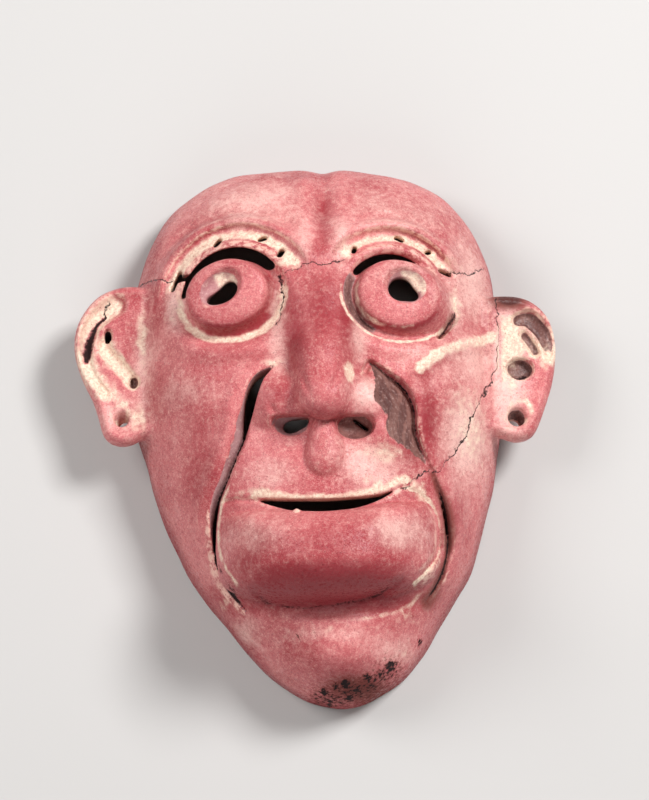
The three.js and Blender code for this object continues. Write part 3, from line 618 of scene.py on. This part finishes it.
def mask_form(x, y, z):
    flat_x, flat_y = x + 0 * y, y + 0 * x
    broad, fine = broad_relief(flat_x, flat_y), fine_relief(flat_x, flat_y)
    nose_form = nose(x, y, z)
    (left, left_marks), (right, right_marks) = (fold(flat_x, flat_y, z, *one) for one in FOLDS)

    form = face(x, y, z, broad, fine, nose_form)
    depth = -form
    form = cut(cut(form, left + left_marks, 0.5), right + right_marks, 0.5)
    form = joined(form, lip(x, y, z), 1.0)
    for line in PAD_CREASES:
        away, _, share = beside(x, y, line)
        form = form + 1.1 * hill(away, 0.9) * rise(share, 0, 0.1) * fall(share, 0.9, 1)
    form = joined(form, ball(x, y, z, LIP_PELLET, (1.5, 1.5, 1.3)), 0.5)
    tab = joined(ball(x, y, z, *TAB[0]), ball(x, y, z, *TAB[1]), 4.0)
    form = joined(form, tab, 1.0)
    for eye, fillet in zip(EYES, (3.0, 1.5)):
        form = joined(form, turret(x, y, z, eye), fillet)
    form = form + hand_wobble(x, y, z)

    behind = joined(shell(x, y, z - broad), ball(x, y, z, *MUZZLE), MUZZLE_BLEND)
    behind = joined(behind, nose_form, 10)
    behind = cut(cut(behind, left + 1.0, BACK_BLEND), right + 1.0, BACK_BLEND)
    behind = joined(behind, lip(x, y, z), 8)
    for eye in EYES:
        behind = joined(behind, turret(x, y, z, eye) + 1.0, 4)
    form = common(form, -(behind + WALL), 1.5)
    form = common(form, -z, 1.5)

    outside = shell(x, y, z) + WALL
    for one in EARS:
        form = joined(form, common(ear_form(x, y, z, one), -outside, 1.0), 3.5)
        form = cut(form, bar(x, y, z, *one.lobe_hole), 1.2)
    for eye in EYES:
        form = cut(form, lid_slit(x, y, z, eye, depth), 0.7)
        form = cut(form, pupil(x, y, z, eye), 1.0)
    for *one, edge in SLOTS:
        form = cut(form, slot(flat_x, flat_y, z, *one), edge)
    for at, radii, hole, end in NOSTRILS:
        scoop = np.minimum(ball(x, y, z, at, radii), pierced(flat_x, flat_y, z, hole, end))
        form = cut(form, common(scoop, y - NOSE_EDGE_Y, 0.8), 0.5)
    for one in BROW_HOLES:
        form = cut(form, pierced(flat_x, flat_y, z, one, 30), 0.4)
    return form


# The mesh: the form sampled on a grid, and a skin drawn where it changes sign


def sampled():
    axes = [np.arange(low, high + GRID, GRID, dtype=np.float32) for low, high in zip(*BLOCK)]
    x, y, z = axes[0][:, None, None], axes[1][None, :, None], axes[2][None, None, :]
    values = np.empty([len(axis) for axis in axes], np.float32)
    for i in range(0, len(axes[0]), SLAB):
        values[i : i + SLAB] = mask_form(x[i : i + SLAB], y, z)
    return values, axes


def skin(values, axes):
    """One vertex in each grid cell that the surface crosses, and one quad across each crossed edge."""
    inside = values < 0
    size = np.array(values.shape)
    count = sum(
        inside[i : size[0] - 1 + i, j : size[1] - 1 + j, k : size[2] - 1 + k].astype(np.int8)
        for i, j, k in CORNERS
    )
    cells = np.argwhere((count > 0) & (count < 8))
    numbers = np.full(size - 1, -1, np.int64)
    numbers[tuple(cells.T)] = np.arange(len(cells))
    total, hits = np.zeros((len(cells), 3)), np.zeros(len(cells))
    for corner in CORNERS:
        for axis in range(3):
            if corner[axis]:
                continue
            other = corner + np.eye(3, dtype=int)[axis]
            a, b = values[tuple((cells + corner).T)], values[tuple((cells + other).T)]
            hit = (a < 0) != (b < 0)
            place = np.tile(np.array(corner, float), (len(cells), 1))
            place[:, axis] = np.where(hit, a / np.where(hit, a - b, 1), 0)
            total += np.where(hit[:, None], place, 0)
            hits += hit
    points = (cells + total / hits[:, None]) * GRID + np.array([axis[0] for axis in axes])
    quads = []
    for axis, step in enumerate(np.eye(3, dtype=int)):
        near = inside[: size[0] - step[0], : size[1] - step[1], : size[2] - step[2]]
        far = inside[step[0] :, step[1] :, step[2] :]
        edges = np.argwhere(near != far)
        u, v = (np.eye(3, dtype=int)[k] for k in range(3) if k != axis)
        quad = [edges - u - v, edges - v, edges, edges - u]
        quad = np.stack([numbers[tuple(cell.T)] for cell in quad], 1)
        turn = inside[tuple(edges.T)] ^ (axis == 1)
        quads.append(np.where(turn[:, None], quad, quad[:, ::-1]))
    return points, np.vstack(quads)


def read(values, axes, points):
    """The sampled form between grid points."""
    place = (points - np.array([axis[0] for axis in axes])) / GRID
    cell = np.clip(np.floor(place).astype(int), 0, np.array(values.shape) - 2)
    part = np.clip(place - cell, 0, 1)
    total = np.zeros(len(points))
    for corner in CORNERS:
        share = np.ones(len(points))
        for axis, side in enumerate(corner):
            share = share * (part[:, axis] if side else 1 - part[:, axis])
        total += share * values[tuple((cell + corner).T)]
    return total


def slope_at(values, axes, points):
    half = 0.6 * GRID
    slope = np.zeros((len(points), 3))
    for axis, step in enumerate(half * np.eye(3)):
        ahead, back = read(values, axes, points + step), read(values, axes, points - step)
        slope[:, axis] = (ahead - back) / (2 * half)
    return slope


def settled(values, axes, points, quads):
    """Evens the vertices out along the surface, and lays them back on it."""
    for _ in range(2):
        total, count = np.zeros_like(points), np.zeros(len(points))
        for a, b in ((0, 1), (1, 2), (2, 3), (3, 0)):
            for p, q in ((a, b), (b, a)):
                for axis in range(3):
                    weights = points[quads[:, q], axis]
                    total[:, axis] += np.bincount(quads[:, p], weights, len(points))
                count += np.bincount(quads[:, p], minlength=len(points))
        points = 0.5 * points + 0.5 * total / count[:, None]
        for _ in range(2):
            slope = slope_at(values, axes, points)
            miss = read(values, axes, points) / np.maximum((slope**2).sum(1), 0.3)
            points = points - slope * np.clip(miss, -GRID, GRID)[:, None]
    return points


def thinned(mesh):
    """Fewer triangles where the surface is smooth."""
    carrier = bpy.data.objects.new("thinning", mesh)
    bpy.context.scene.collection.objects.link(carrier)
    triangles = sum(len(p.vertices) - 2 for p in mesh.polygons)
    modifier = carrier.modifiers.new("fewer", "DECIMATE")
    modifier.ratio = TRIANGLES / triangles
    modifier.use_collapse_triangulate = True
    graph = bpy.context.evaluated_depsgraph_get()
    result = bpy.data.meshes.new_from_object(carrier.evaluated_get(graph))
    bpy.data.objects.remove(carrier)
    return result


# Where the colour changes. Each tone is 0 to 1 at each vertex.


def most(*amounts):
    return np.maximum.reduce(amounts)


def uncut(x, y, z):
    """The front before anything is cut into it."""
    form = face(x, y, z, broad_relief(x, y), fine_relief(x, y), nose(x, y, z))
    form = joined(form, lip(x, y, z), 1.0)
    for eye in EYES:
        form = joined(form, turret(x, y, z, eye), 2.0)
    return form


def patches(x, y, places):
    return most(*mounds(x, y, places))


def eye_dust(x, y, eye):
    """In the brow's groove, on the lid, round the socket and in the pupil's dish."""
    out = off(x, y, eye.lid)
    above = facing(x, y, eye.lid, eye.brow, 8)
    inner = eye.lid_radius + 4.2
    groove = rise(out, inner - 1.5, inner + 0.8) * fall(out - eye.groove, -1.5, 3.2) * above
    lid = 0.4 * hill(out - eye.lid_radius - 0.8, 0.9) * above
    place, wide = eye.ring
    ring = 0.95 * hill((in_socket(x, y, eye) - place) / wide, 1)
    ring = ring * facing(x, y, eye.socket, (172, 375), 20)
    upper = rise(x - eye.dish[0] + y - eye.dish[1], -2, 5)
    return most(groove, lid, ring, 0.85 * fall(on_dish(x, y, eye), 0.75, 0.95) * upper)


def flank(x, y, eye):
    """The side of a turret, between its flat top and the socket, on its shaded side: painted shade, laid on
    in dark red.
    """
    dx, dy = turned(x, y, eye.plate, eye.plate_turn)
    out = np.hypot(dx / eye.plate_radii[0], dy / eye.plate_radii[1])
    side = rise(out, 0.94, 1.06) * fall(in_socket(x, y, eye), 0.78, 0.9)
    return side * facing(x, y, eye.plate, eye.shaded)


def ear_tones(x, y, z, ear):
    """How deep under the ear's face a place lies, its dust, its dark creases, painted as shade, and its pits,
    the deepest of them also painted dark as shade.
    """
    height = above_ear(x, z)
    edge = inside_outline(x, y, ear.outline)
    on_ear = (edge < 1.5) & (np.abs(x) > 70) & (height > -3)
    depth = np.where(on_ear, EAR_THICK / 2 - height, 0) * rise(-edge, 0.4, 1.4)
    outer, inner = (beside(x, y, line)[0] for line in (ear.outer, ear.inner))
    at, _, radius, _ = ear.lobe_hole
    lobe = 0.8 * hill(off(x, y, at) - radius, 1.8)
    dust_and_sheen = most(1.1 * hill(outer, 5.0), 1.1 * hill(inner, 4.5), lobe) * on_ear
    away, _, share = beside(x, y, ear.dark)
    wide = ear.dark_width * (0.25 + rise(share, 0, 0.8)) * (1 - 0.5 * rise(share, 0.85, 1))
    dark, pit = hill(away / wide, 1) * on_ear, np.zeros(len(x))
    for px, py, rx, ry, deep in ear.pits:
        within = fall(oval(x, y, (px, py), (rx, ry)), 0.75, 1.05) * on_ear
        pit, dark = most(pit, within), most(dark, within * (deep > 6))
    return depth, dust_and_sheen, dark, pit


def crack_lines(x, y):
    """How far across the nearest crack a place is, in millimetres, and whether it is beside one."""
    nearest, across, here = np.full(len(x), 99.0), np.full(len(x), 4.0), np.zeros(len(x))
    for line in CRACKS:
        away, side, share = beside(x, y, line, 3)
        closer = away < nearest
        across = np.where(closer, np.clip(side * away, -4, 4), across)
        here = np.where(closer, (share > 0.001) & (share < 0.999) & (away < 2.5), here)
        nearest = np.minimum(nearest, away)
    return across, here


def dust_and_sheen_tone(x, y, z, ears, left_fold, space):
    """Cream dust on the face, in the ears and along the mouth, the lip's pad and the left fold, and painted
    highlights along the right cheek's ridge and on the nose, the right cheek and the pad.
    """
    dust_and_sheen = [patches(x, y, DUST_AND_SHEEN) * rise(z, *LOW_SIDES)]
    dust_and_sheen += [eye_dust(x, y, eye) for eye in EYES] + [dusty for _, dusty, _, _ in ears]
    away, side, _ = beside(x, y, MOUTH)
    dust_and_sheen.append(1.1 * hill(away - 2.6, 2.2) * (side > 0))
    # A painted highlight along the right cheek's ridge
    away, _, share = beside(x, y, CHEEK_RIDGE)
    dust_and_sheen.append((0.95 + 0.1 * np.sin(9 * share)) * hill(away - 0.3, 2.9))
    edge = 0.6 * hill((in_socket(x, y, EYES[1]) - 0.74) / 0.06, 1)
    dust_and_sheen.append(edge * facing(x, y, EYES[1].socket, (150, 300)))
    for line, amount in zip(PAD_CREASES, (0.5, 1.0)):
        away, side, share = beside(x, y, line)
        dust_and_sheen.append(amount * hill(away - 0.7, 1.1) * rise(share, 0, 0.1) * (side > 0))
    away, side, share = left_fold
    low_end = rise(share, 0.55, 0.65) * fall(share, 0.95, 1.0) * fall(-space, 2.0, 4.0)
    dust_and_sheen.append(0.8 * hill(away - 1.9, 1.0) * (side > 0) * low_end)
    away, _, _ = beside(x, y, CREAM_STREAK)
    return most(*dust_and_sheen, 0.75 * hill(away, 1.6))


def bare_walls(x, y, below, ears, folds, spaces):
    """Clay that was cut and never slipped: where it is pale, where dark, and where no dust lies."""
    carved = rise(below, 0.25, 0.8)
    left, right = (
        carved * hill(space, 1.1) * (side < 0) * rise(share, *start)
        for space, (_, side, share), start in zip(spaces, folds, ((0.1, 0.18), (0.03, 0.07)))
    )
    fade = fall(folds[1][2], 0.46, 0.64)
    left_nostril, right_nostril = (
        0.7 * carved * fall(oval(x, y, at, radii), 0.85, 1.0) for at, radii, _, _ in NOSTRILS
    )
    dishes = [0.6 * fall(on_dish(x, y, eye), 0.78, 0.92) for eye in EYES]
    ring = in_socket(x, y, EYES[1])
    socket = rise(ring, 0.80, 0.85) * fall(ring, 0.96, 1.0)
    socket = socket * facing(x, y, EYES[1].socket, (156, 238), 8)
    left_ear, right_ear = 0.45 * rise(ears[0][0], 1.6, 2.6), rise(ears[1][0], 1.8, 3.0)
    pale = most(left, left_ear, right_ear, left_nostril, socket, *dishes)
    dark = most(right * fade, 0.75 * right_ear, ears[0][3], right_nostril, 0.7 * socket)
    return pale, dark, most(left, socket, dark)


def painted_shade_tone(x, y, below, ears, folds, spaces):
    """Painted shade along the bottoms of the folds, in the gap at an eye, in the ears and under the pad."""
    painted_shade = [dark for _, _, dark, _ in ears]
    for (away, _, share), space, wide, low_end in zip(folds, spaces, (0.7, 0.45), (0.55, 0.6)):
        middle = rise(share, 0.10, 0.2) * fall(share, 0.97, 1.0) * fall(-space, 2.0, 4.0)
        shallow = rise(share, low_end, low_end + 0.1) * rise(below, -0.3, 0.4)
        painted_shade.append(most(rise(below, 2.5, 5.0), shallow) * hill(away, wide) * middle)
    # Painted shadow in the gap at the right eye
    away, _, share = beside(x, y, EYE_GAP)
    painted_shade.append(0.7 * hill(away, 1.1 - 0.5 * share))
    # A painted shadow line under the pad's lower edge
    away, _, share = beside(x, y, PAD_CREASES[2])
    painted_shade.append(0.55 * hill(away, 0.7) * rise(share, 0, 0.15) * fall(share, 0.8, 1))
    return most(*painted_shade)


def crust_tone(x, y):
    away, _, _ = beside(x, y, CRUST)
    lumps = (fall(np.hypot(x - px, y - py) / radius, 0.5, 1.2) for px, py, radius in CRUST_LUMPS)
    return most(0.6 * hill(away, 4.2), *lumps)


def lie(values, axes, points):
    """Which way the clay faces, how hollow it is there and how sharp an edge."""
    slope = slope_at(values, axes, points)
    steep = np.maximum(np.linalg.norm(slope, axis=1), 0.2)
    out = slope / steep[:, None]

    def level_at(reach):
        return read(values, axes, points + out * reach) / (steep * abs(reach))

    hollow = 0.5 * np.clip(1 - level_at(1.8), 0, 1) + 0.5 * np.clip(1 - level_at(4.5), 0, 1)
    return out, hollow, np.clip(1 + level_at(-1.8), 0, 1)


def tones(values, axes, points):
    x, y, z = points[:, 0], points[:, 1], points[:, 2]
    out, hollow, edge = lie(values, axes, points)
    below, down = -uncut(x, y, z), -out[:, 2]
    inside = most(
        rise(below, 4.6, 6.2) * rise(down, -0.3, 0.1),
        rise(below, 1.6, 2.8) * rise(down, 0.2, 0.5),
        (z < 1.0) & (down > 0.5),
    )
    ears = [ear_tones(x, y, z, one) for one in EARS]
    folds = [beside(x, y, line) for line, _, _ in FOLDS]
    spaces = [sum(fold(x, y, z, *one)) for one in FOLDS]
    pale_wall, dark_wall, clean = bare_walls(x, y, below, ears, folds, spaces)
    deep = painted_shade_tone(x, y, below, ears, folds, spaces)

    away, side, share = folds[1]
    brown_and_shade = hill(away - 0.8 * (side > 0), 3.0) * rise(share, 0.5, 0.62) * rise(below, -0.5, 0.3)
    brown_and_shade = most(brown_and_shade * fall(-spaces[1], 3.0, 6.0), patches(x, y, BROWNED_AND_SHADED))
    dust_and_sheen = dust_and_sheen_tone(x, y, z, ears, folds[0], spaces[0])
    dust_and_sheen = dust_and_sheen * (1 - most(0.8 * clean, deep)) * (1 - 0.9 * np.minimum(brown_and_shade, 1))
    # The gap at the right eye is painted brown too, as painted shadow
    away, _, share = beside(x, y, EYE_GAP)
    brown_and_shade = most(brown_and_shade, 0.9 * hill(away, 2.2 - share) * rise(share, -0.1, 0.2))
    # Painted shade: darker red towards the rim, and on the shaded sides of the turrets
    low_sides = 0.8 * fall(z, 4, 24)
    ruddy_and_shade = most(patches(x, y, DARK_RED_AND_SHADE), low_sides, *(flank(x, y, eye) for eye in EYES))

    away, _, _ = beside(x, y, PAD_CREASES[2])
    crack_across, crack_here = crack_lines(x, y)
    return dict(
        crack_across=crack_across, crack_here=crack_here * ((z > 24) | (x < 66)),
        hollow=hollow, edge=edge * (1 - hill(away, 3.0)), inside=inside, dust_and_sheen=dust_and_sheen, deep=deep,
        worn_and_sheen=patches(x, y, WORN_AND_SHEEN) * rise(z, *LOW_SIDES), ruddy_and_shade=ruddy_and_shade, brown_and_shade=brown_and_shade,
        pale_wall=pale_wall, dark_wall=dark_wall, crust=crust_tone(x, y),
    )


def mask_piece():
    values, axes = sampled()
    points, quads = skin(values, axes)
    points = settled(values, axes, points, quads)
    mesh = bpy.data.meshes.new("mask skin")
    mesh.from_pydata(points.tolist(), [], quads.tolist())
    mesh = thinned(mesh)
    mesh.name = "clay_mask"
    places = np.empty(len(mesh.vertices) * 3, np.float32)
    mesh.vertices.foreach_get("co", places)
    places = places.reshape(-1, 3).astype(float)
    for name, amounts in tones(values, axes, places).items():
        layer = mesh.attributes.new(name, "FLOAT", "POINT")
        layer.data.foreach_set("value", amounts.astype(np.float32))
    low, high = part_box("mask")
    middle = (places.min(0) + places.max(0)) / 2
    shift = np.array([(low.x + high.x) / 2 - middle[0] * MM, (low.y + high.y) / 2 - middle[1] * MM, 0])
    mesh.vertices.foreach_set("co", (places * MM + shift).astype(np.float32).ravel())
    mesh.polygons.foreach_set("use_smooth", np.ones(len(mesh.polygons), bool))
    mesh.update()
    return placed("clay_mask", mesh)


def placed(name, data):
    holder = bpy.data.objects.new(name, data)
    bpy.context.scene.collection.objects.link(holder)
    return holder


# The finish. Colours are screen values, 0 to 255.

ROSE, PALE_ROSE, DUSKY_ROSE = (176, 72, 78), (205, 112, 114), (218, 140, 136)
STIPPLE, STIPPLE_PALE, STROKE = (140, 42, 50), (230, 170, 160), (226, 166, 160)
SPECK_PALE, GRAIN_PALE, GRAIN_DARK, POCK_DARK = (238, 192, 178), (246, 204, 192), (120, 34, 42), (112, 38, 44)
DEEP_RED_AND_SHADE, SHEEN_AND_WORN_PINK, RUBBED = (142, 34, 44), (242, 200, 189), (232, 184, 168)
BROWN, DARK_BROWN = (112, 52, 42), (64, 28, 26)
BARE_PALE = (176, 138, 138), (150, 106, 108), (214, 188, 178)
BARE_DARK = (140, 100, 92), (106, 68, 62), (74, 42, 42), (180, 146, 140)
CREAM = (246, 228, 204), (222, 182, 162), (140, 84, 76)
SHADE_BLACK, CRUST_EDGE, CRUST_BLACK, CRACK_DARK = (38, 20, 20), (104, 48, 42), (34, 16, 18), (44, 22, 22)
BACK = (92, 54, 48), (118, 76, 64), (150, 112, 96)


def linear(color):
    shares = [c / 255 for c in color]
    return [c / 12.92 if c <= 0.04045 else ((c + 0.055) / 1.055) ** 2.4 for c in shares] + [1]


class Painter:
    """Adds nodes to one tree. An input is a number, a colour or another node's socket."""

    def __init__(self, tree):
        self.tree = tree
        self.place = self.add("TexCoord").outputs["Object"]
        self.broad = self.noise(30, 2, 0.5)
        self.blotch = self.noise(85, 5, 0.62, 0.5)
        self.mottle = self.noise(400, 6, 0.7, 0.1)
        self.crumb = self.noise(700, 4, 0.65)
        self.speck = self.noise(800, 5, 0.7)
        self.pock = self.noise(1250, 3, 0.65)
        self.grain = self.noise(2200, 2, 0.6)
        drawn_out = {"Vector": self.place, "Scale": (420, 90, 200), "Rotation": (0, 0, 0.25)}
        self.strokes = self.noise(1, 3, 0.6, 0.3, self.add("Mapping", drawn_out).outputs[0])

    def add(self, kind, inputs=None, **settings):
        node = self.tree.nodes.new("ShaderNode" + kind)
        for name, value in settings.items():
            setattr(node, name, value)
        for name, value in (inputs or {}).items():
            if isinstance(value, bpy.types.NodeSocket):
                self.tree.links.new(value, node.inputs[name])
            else:
                node.inputs[name].default_value = value
        return node

    def level(self, name):
        return self.add("Attribute", attribute_name=name).outputs["Fac"]

    def noise(self, scale, detail, rough, warp=0.0, place=None):
        inputs = {"Vector": place or self.place, "Scale": scale, "Detail": detail}
        return self.add("TexNoise", {**inputs, "Roughness": rough, "Distortion": warp}).outputs["Fac"]

    def plus(self, a, b, operation="ADD", clamp=False):
        return self.add("Math", {0: a, 1: b}, operation=operation, use_clamp=clamp).outputs[0]

    def minus(self, a, b, clamp=False):
        return self.plus(a, b, "SUBTRACT", clamp)

    def times(self, a, b):
        return self.plus(a, b, "MULTIPLY")

    def between(self, value, low, high, start=0.0, end=1.0):
        inputs = {"Value": value, "From Min": low, "From Max": high, "To Min": start, "To Max": end}
        return self.add("MapRange", inputs, interpolation_type="SMOOTHSTEP").outputs["Result"]

    def mix(self, share, a, b):
        a, b = (linear(one) if isinstance(one, tuple) else one for one in (a, b))
        return self.add("Mix", {0: share, 6: a, 7: b}, data_type="RGBA").outputs[2]

    def over(self, color, *coats):
        """Lays coats on a colour, each as thick as its pattern is high."""
        for coat, pattern, *span in coats:
            color = self.mix(self.between(pattern, *span), color, coat)
        return color


def slip_color(paint):
    """Rose red slip, thin in places and rubbed on what stands out, with painted highlights in pale pink and
    painted shade in dark red and brown.
    """
    color = paint.over(
        paint.mix(paint.between(paint.broad, 0.36, 0.64), ROSE, PALE_ROSE),
        (DUSKY_ROSE, paint.blotch, 0.4, 0.75, 0, 0.4),
        (STIPPLE, paint.mottle, 0.3, 0.52, 0.25, 0),
        (STIPPLE_PALE, paint.mottle, 0.46, 0.76, 0, 0.3),
        (STROKE, paint.strokes, 0.5, 0.8, 0, 0.35),
        (SPECK_PALE, paint.speck, 0.52, 0.74, 0, 0.35),
        (GRAIN_PALE, paint.grain, 0.5, 0.75, 0, 0.3),
    )
    # Dark red slip, with painted shade under the nose and the pad, on the turrets' shaded sides and towards
    # the rim
    red = paint.minus(paint.level("ruddy_and_shade"), paint.between(paint.mottle, 0.4, 0.7, 0, 0.15))
    # Pale pink where the slip is rubbed, and painted highlights on the pad, the forehead and the right cheek
    worn_and_sheen = paint.plus(paint.level("worn_and_sheen"), paint.between(paint.mottle, 0.3, 0.7, -0.14, 0.1))
    worn_and_sheen = paint.plus(worn_and_sheen, paint.between(paint.blotch, 0.3, 0.7, -0.14, 0.1))
    color = paint.over(
        color,
        (DEEP_RED_AND_SHADE, red, 0, 1.1, 0, 0.9),
        (SHEEN_AND_WORN_PINK, worn_and_sheen, 0, 1.1, 0, 0.85),
        (GRAIN_DARK, paint.grain, 0.28, 0.48, 0.35, 0),
        (POCK_DARK, paint.pock, 0.56, 0.7, 0, 0.4),
    )
    edge, brown_and_shade = paint.between(paint.level("edge"), 0.12, 0.5), paint.level("brown_and_shade")
    color = paint.mix(paint.times(edge, paint.between(paint.mottle, 0.38, 0.58)), color, RUBBED)
    # Brown along the right fold and by the chin's crust, and painted shade at the top of the right ear, under
    # the pad and in the gap at the right eye
    return paint.over(color, (BROWN, brown_and_shade, 0.1, 0.9, 0, 0.8), (DARK_BROWN, brown_and_shade, 0.8, 1.3, 0, 0.8))


def bare_color(paint, color):
    """Bare clay on the walls that were cut and never slipped."""
    pale = paint.mix(paint.between(paint.blotch, 0.3, 0.7), *BARE_PALE[:2])
    pale = paint.over(pale, (BARE_PALE[2], paint.speck, 0.5, 0.7, 0, 0.6))
    dark = paint.mix(paint.between(paint.blotch, 0.3, 0.7), *BARE_DARK[:2])
    dark = paint.over(
        dark, (BARE_DARK[2], paint.strokes, 0.46, 0.6, 0, 0.6), (BARE_DARK[3], paint.speck, 0.5, 0.7, 0, 0.6)
    )
    walls = (pale, paint.level("pale_wall"), 0.3, 0.8), (dark, paint.level("dark_wall"), 0.3, 0.8)
    return paint.over(color, *walls)


def with_dust_and_sheen(paint, color):
    """Cream dust in the hollows and painted highlights, broken up by rubbing, and how thick they lie."""
    dust_and_sheen = paint.plus(paint.level("dust_and_sheen"), paint.times(paint.level("hollow"), 0.14))
    dust_and_sheen = paint.minus(dust_and_sheen, paint.between(paint.blotch, 0.3, 0.75, 0, 0.3))
    dust_and_sheen = paint.minus(dust_and_sheen, paint.between(paint.mottle, 0.34, 0.66, 0.34, 0))
    dust_and_sheen = paint.minus(dust_and_sheen, paint.between(paint.speck, 0.3, 0.75, 0, 0.34))
    cover = paint.between(dust_and_sheen, 0, 0.5, 0, 0.92)
    cream = paint.mix(paint.between(paint.speck, 0.35, 0.65), *CREAM[:2])
    cream = paint.over(cream, (CREAM[2], paint.pock, 0.56, 0.7, 0, 0.6))
    return paint.mix(cover, color, cream), cover


def crack_pattern(paint):
    """The joined breaks: a thin line that wanders and opens and closes."""
    wander = paint.between(paint.noise(240, 4, 0.6), 0.2, 0.8, -1.1, 1.1)
    across = paint.plus(paint.plus(paint.level("crack_across"), wander), 0.0, "ABSOLUTE")
    across = paint.minus(across, paint.between(paint.blotch, 0.35, 0.65, 0, 0.2))
    crack = paint.minus(1.0, paint.plus(across, 0.24, "DIVIDE"), clamp=True)
    crack = paint.times(crack, paint.level("crack_here"))
    return paint.times(crack, paint.between(paint.speck, 0.3, 0.5, 0.4, 1))


def clay_finish():
    material = bpy.data.materials.new("slipped clay")
    material.use_nodes = True
    tree = material.node_tree
    tree.nodes.clear()
    paint = Painter(tree)
    color, cover = with_dust_and_sheen(paint, bare_color(paint, slip_color(paint)))

    # Painted shade in the depths, the crust on the chin and the breaks
    deep = paint.plus(paint.level("deep"), paint.between(paint.crumb, 0.3, 0.7, -0.3, 0.1))
    crust = paint.plus(paint.level("crust"), paint.between(paint.crumb, 0.3, 0.7, -0.35, 0.35))
    color = paint.over(color, (SHADE_BLACK, deep, 0.2, 0.7), (CRUST_EDGE, crust, 0.2, 0.7, 0, 0.7))
    crusted, crack = paint.between(crust, 0.6, 0.85), crack_pattern(paint)
    color = paint.mix(crack, paint.mix(crusted, color, CRUST_BLACK), CRACK_DARK)

    # The hidden back is plain fired clay, painted dark as shade so that it looks dark through the openings
    behind = paint.mix(paint.between(paint.blotch, 0.3, 0.7), *BACK[:2])
    behind = paint.over(behind, (BACK[2], paint.pock, 0.56, 0.7, 0, 0.4))
    color = paint.mix(paint.level("inside"), color, behind)

    dull = paint.plus(paint.between(crust, 0, 0.4), paint.between(deep, 0.2, 0.7), clamp=True)
    rough = paint.plus(paint.between(paint.mottle, 0.3, 0.7, 0.34, 0.44), paint.times(cover, 0.3), clamp=True)
    rough = paint.plus(rough, paint.times(dull, 0.6), clamp=True)
    relief = paint.plus(paint.times(paint.speck, 0.6), paint.times(paint.grain, 0.4))
    relief = paint.minus(relief, paint.between(paint.pock, 0.58, 0.7, 0, 0.5))
    relief = paint.minus(relief, paint.times(crack, 1.5))
    relief = paint.plus(paint.plus(relief, paint.times(paint.strokes, 0.5)), crusted)
    bump = paint.add("Bump", {"Height": relief, "Strength": 0.4, "Distance": 0.0006})

    shader = paint.add("BsdfPrincipled", {"Base Color": color, "Roughness": rough, "Normal": bump.outputs[0]})
    shader.inputs["Specular IOR Level"].default_value = 0.32
    paint.add("OutputMaterial", {"Surface": shader.outputs[0]})
    return material


# The room, in metres

FLOOR_COLOR, FLOOR_REACH = (196, 194, 192), 4.0
ROOM_COLOR, ROOM_LIGHT = (1.0, 0.95, 0.95, 1), 0.15
AIM, MASK_MIDDLE = Vector((0.0038, 0.00775, 0.040)), Vector((0, 0, 0.03))
CAMERA_DISTANCE, CAMERA_ELEVATION, LENS = 1.5, math.radians(78), 173
# Each light: its name, place, width and power
LIGHTS = (
    ("key light", (0.75, 0.55, 1.15), 0.4, 24),
    ("fill light", (-0.85, 0.35, 0.95), 0.6, 9),
    ("low light", (-0.1, -1.1, 0.8), 0.9, 5),
)


def floor():
    material = bpy.data.materials.new("pale floor")
    material.use_nodes = True
    shader = material.node_tree.nodes["Principled BSDF"]
    shader.inputs["Base Color"].default_value = linear(FLOOR_COLOR)
    shader.inputs["Roughness"].default_value = 0.9
    mesh = bpy.data.meshes.new("floor")
    corners = [(FLOOR_REACH * x, FLOOR_REACH * y, 0) for x, y in ((-1, -1), (1, -1), (1, 1), (-1, 1))]
    mesh.from_pydata(corners, [], [(0, 1, 2, 3)])
    mesh.materials.append(material)
    placed("floor", mesh)


def softbox(name, at, size, power):
    light = bpy.data.lights.new(name, "AREA")
    light.size, light.energy = size, power
    holder = placed(name, light)
    holder.location = at
    holder.rotation_euler = (MASK_MIDDLE - Vector(at)).to_track_quat("-Z", "Y").to_euler()


def camera():
    """Looks down on the mask as the photographer did, with a long lens."""
    back = Vector((0, -math.cos(CAMERA_ELEVATION), math.sin(CAMERA_ELEVATION)))
    lens = bpy.data.cameras.new("camera")
    lens.lens, lens.sensor_width, lens.clip_end = LENS, 36, 20
    holder = placed("camera", lens)
    holder.location = AIM + back * CAMERA_DISTANCE
    holder.rotation_euler = (-back).to_track_quat("-Z", "Y").to_euler()
    bpy.context.scene.camera = holder


mask = mask_piece()
mask.data.materials.append(clay_finish())
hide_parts("mask")
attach(mask, "root")

floor()
for one in LIGHTS:
    softbox(*one)
world = bpy.data.worlds.new("soft room")
bpy.context.scene.world = world
world.use_nodes = True
world.node_tree.nodes["Background"].inputs["Color"].default_value = ROOM_COLOR
world.node_tree.nodes["Background"].inputs["Strength"].default_value = ROOM_LIGHT
bpy.context.scene.view_settings.view_transform = "Standard"
camera()
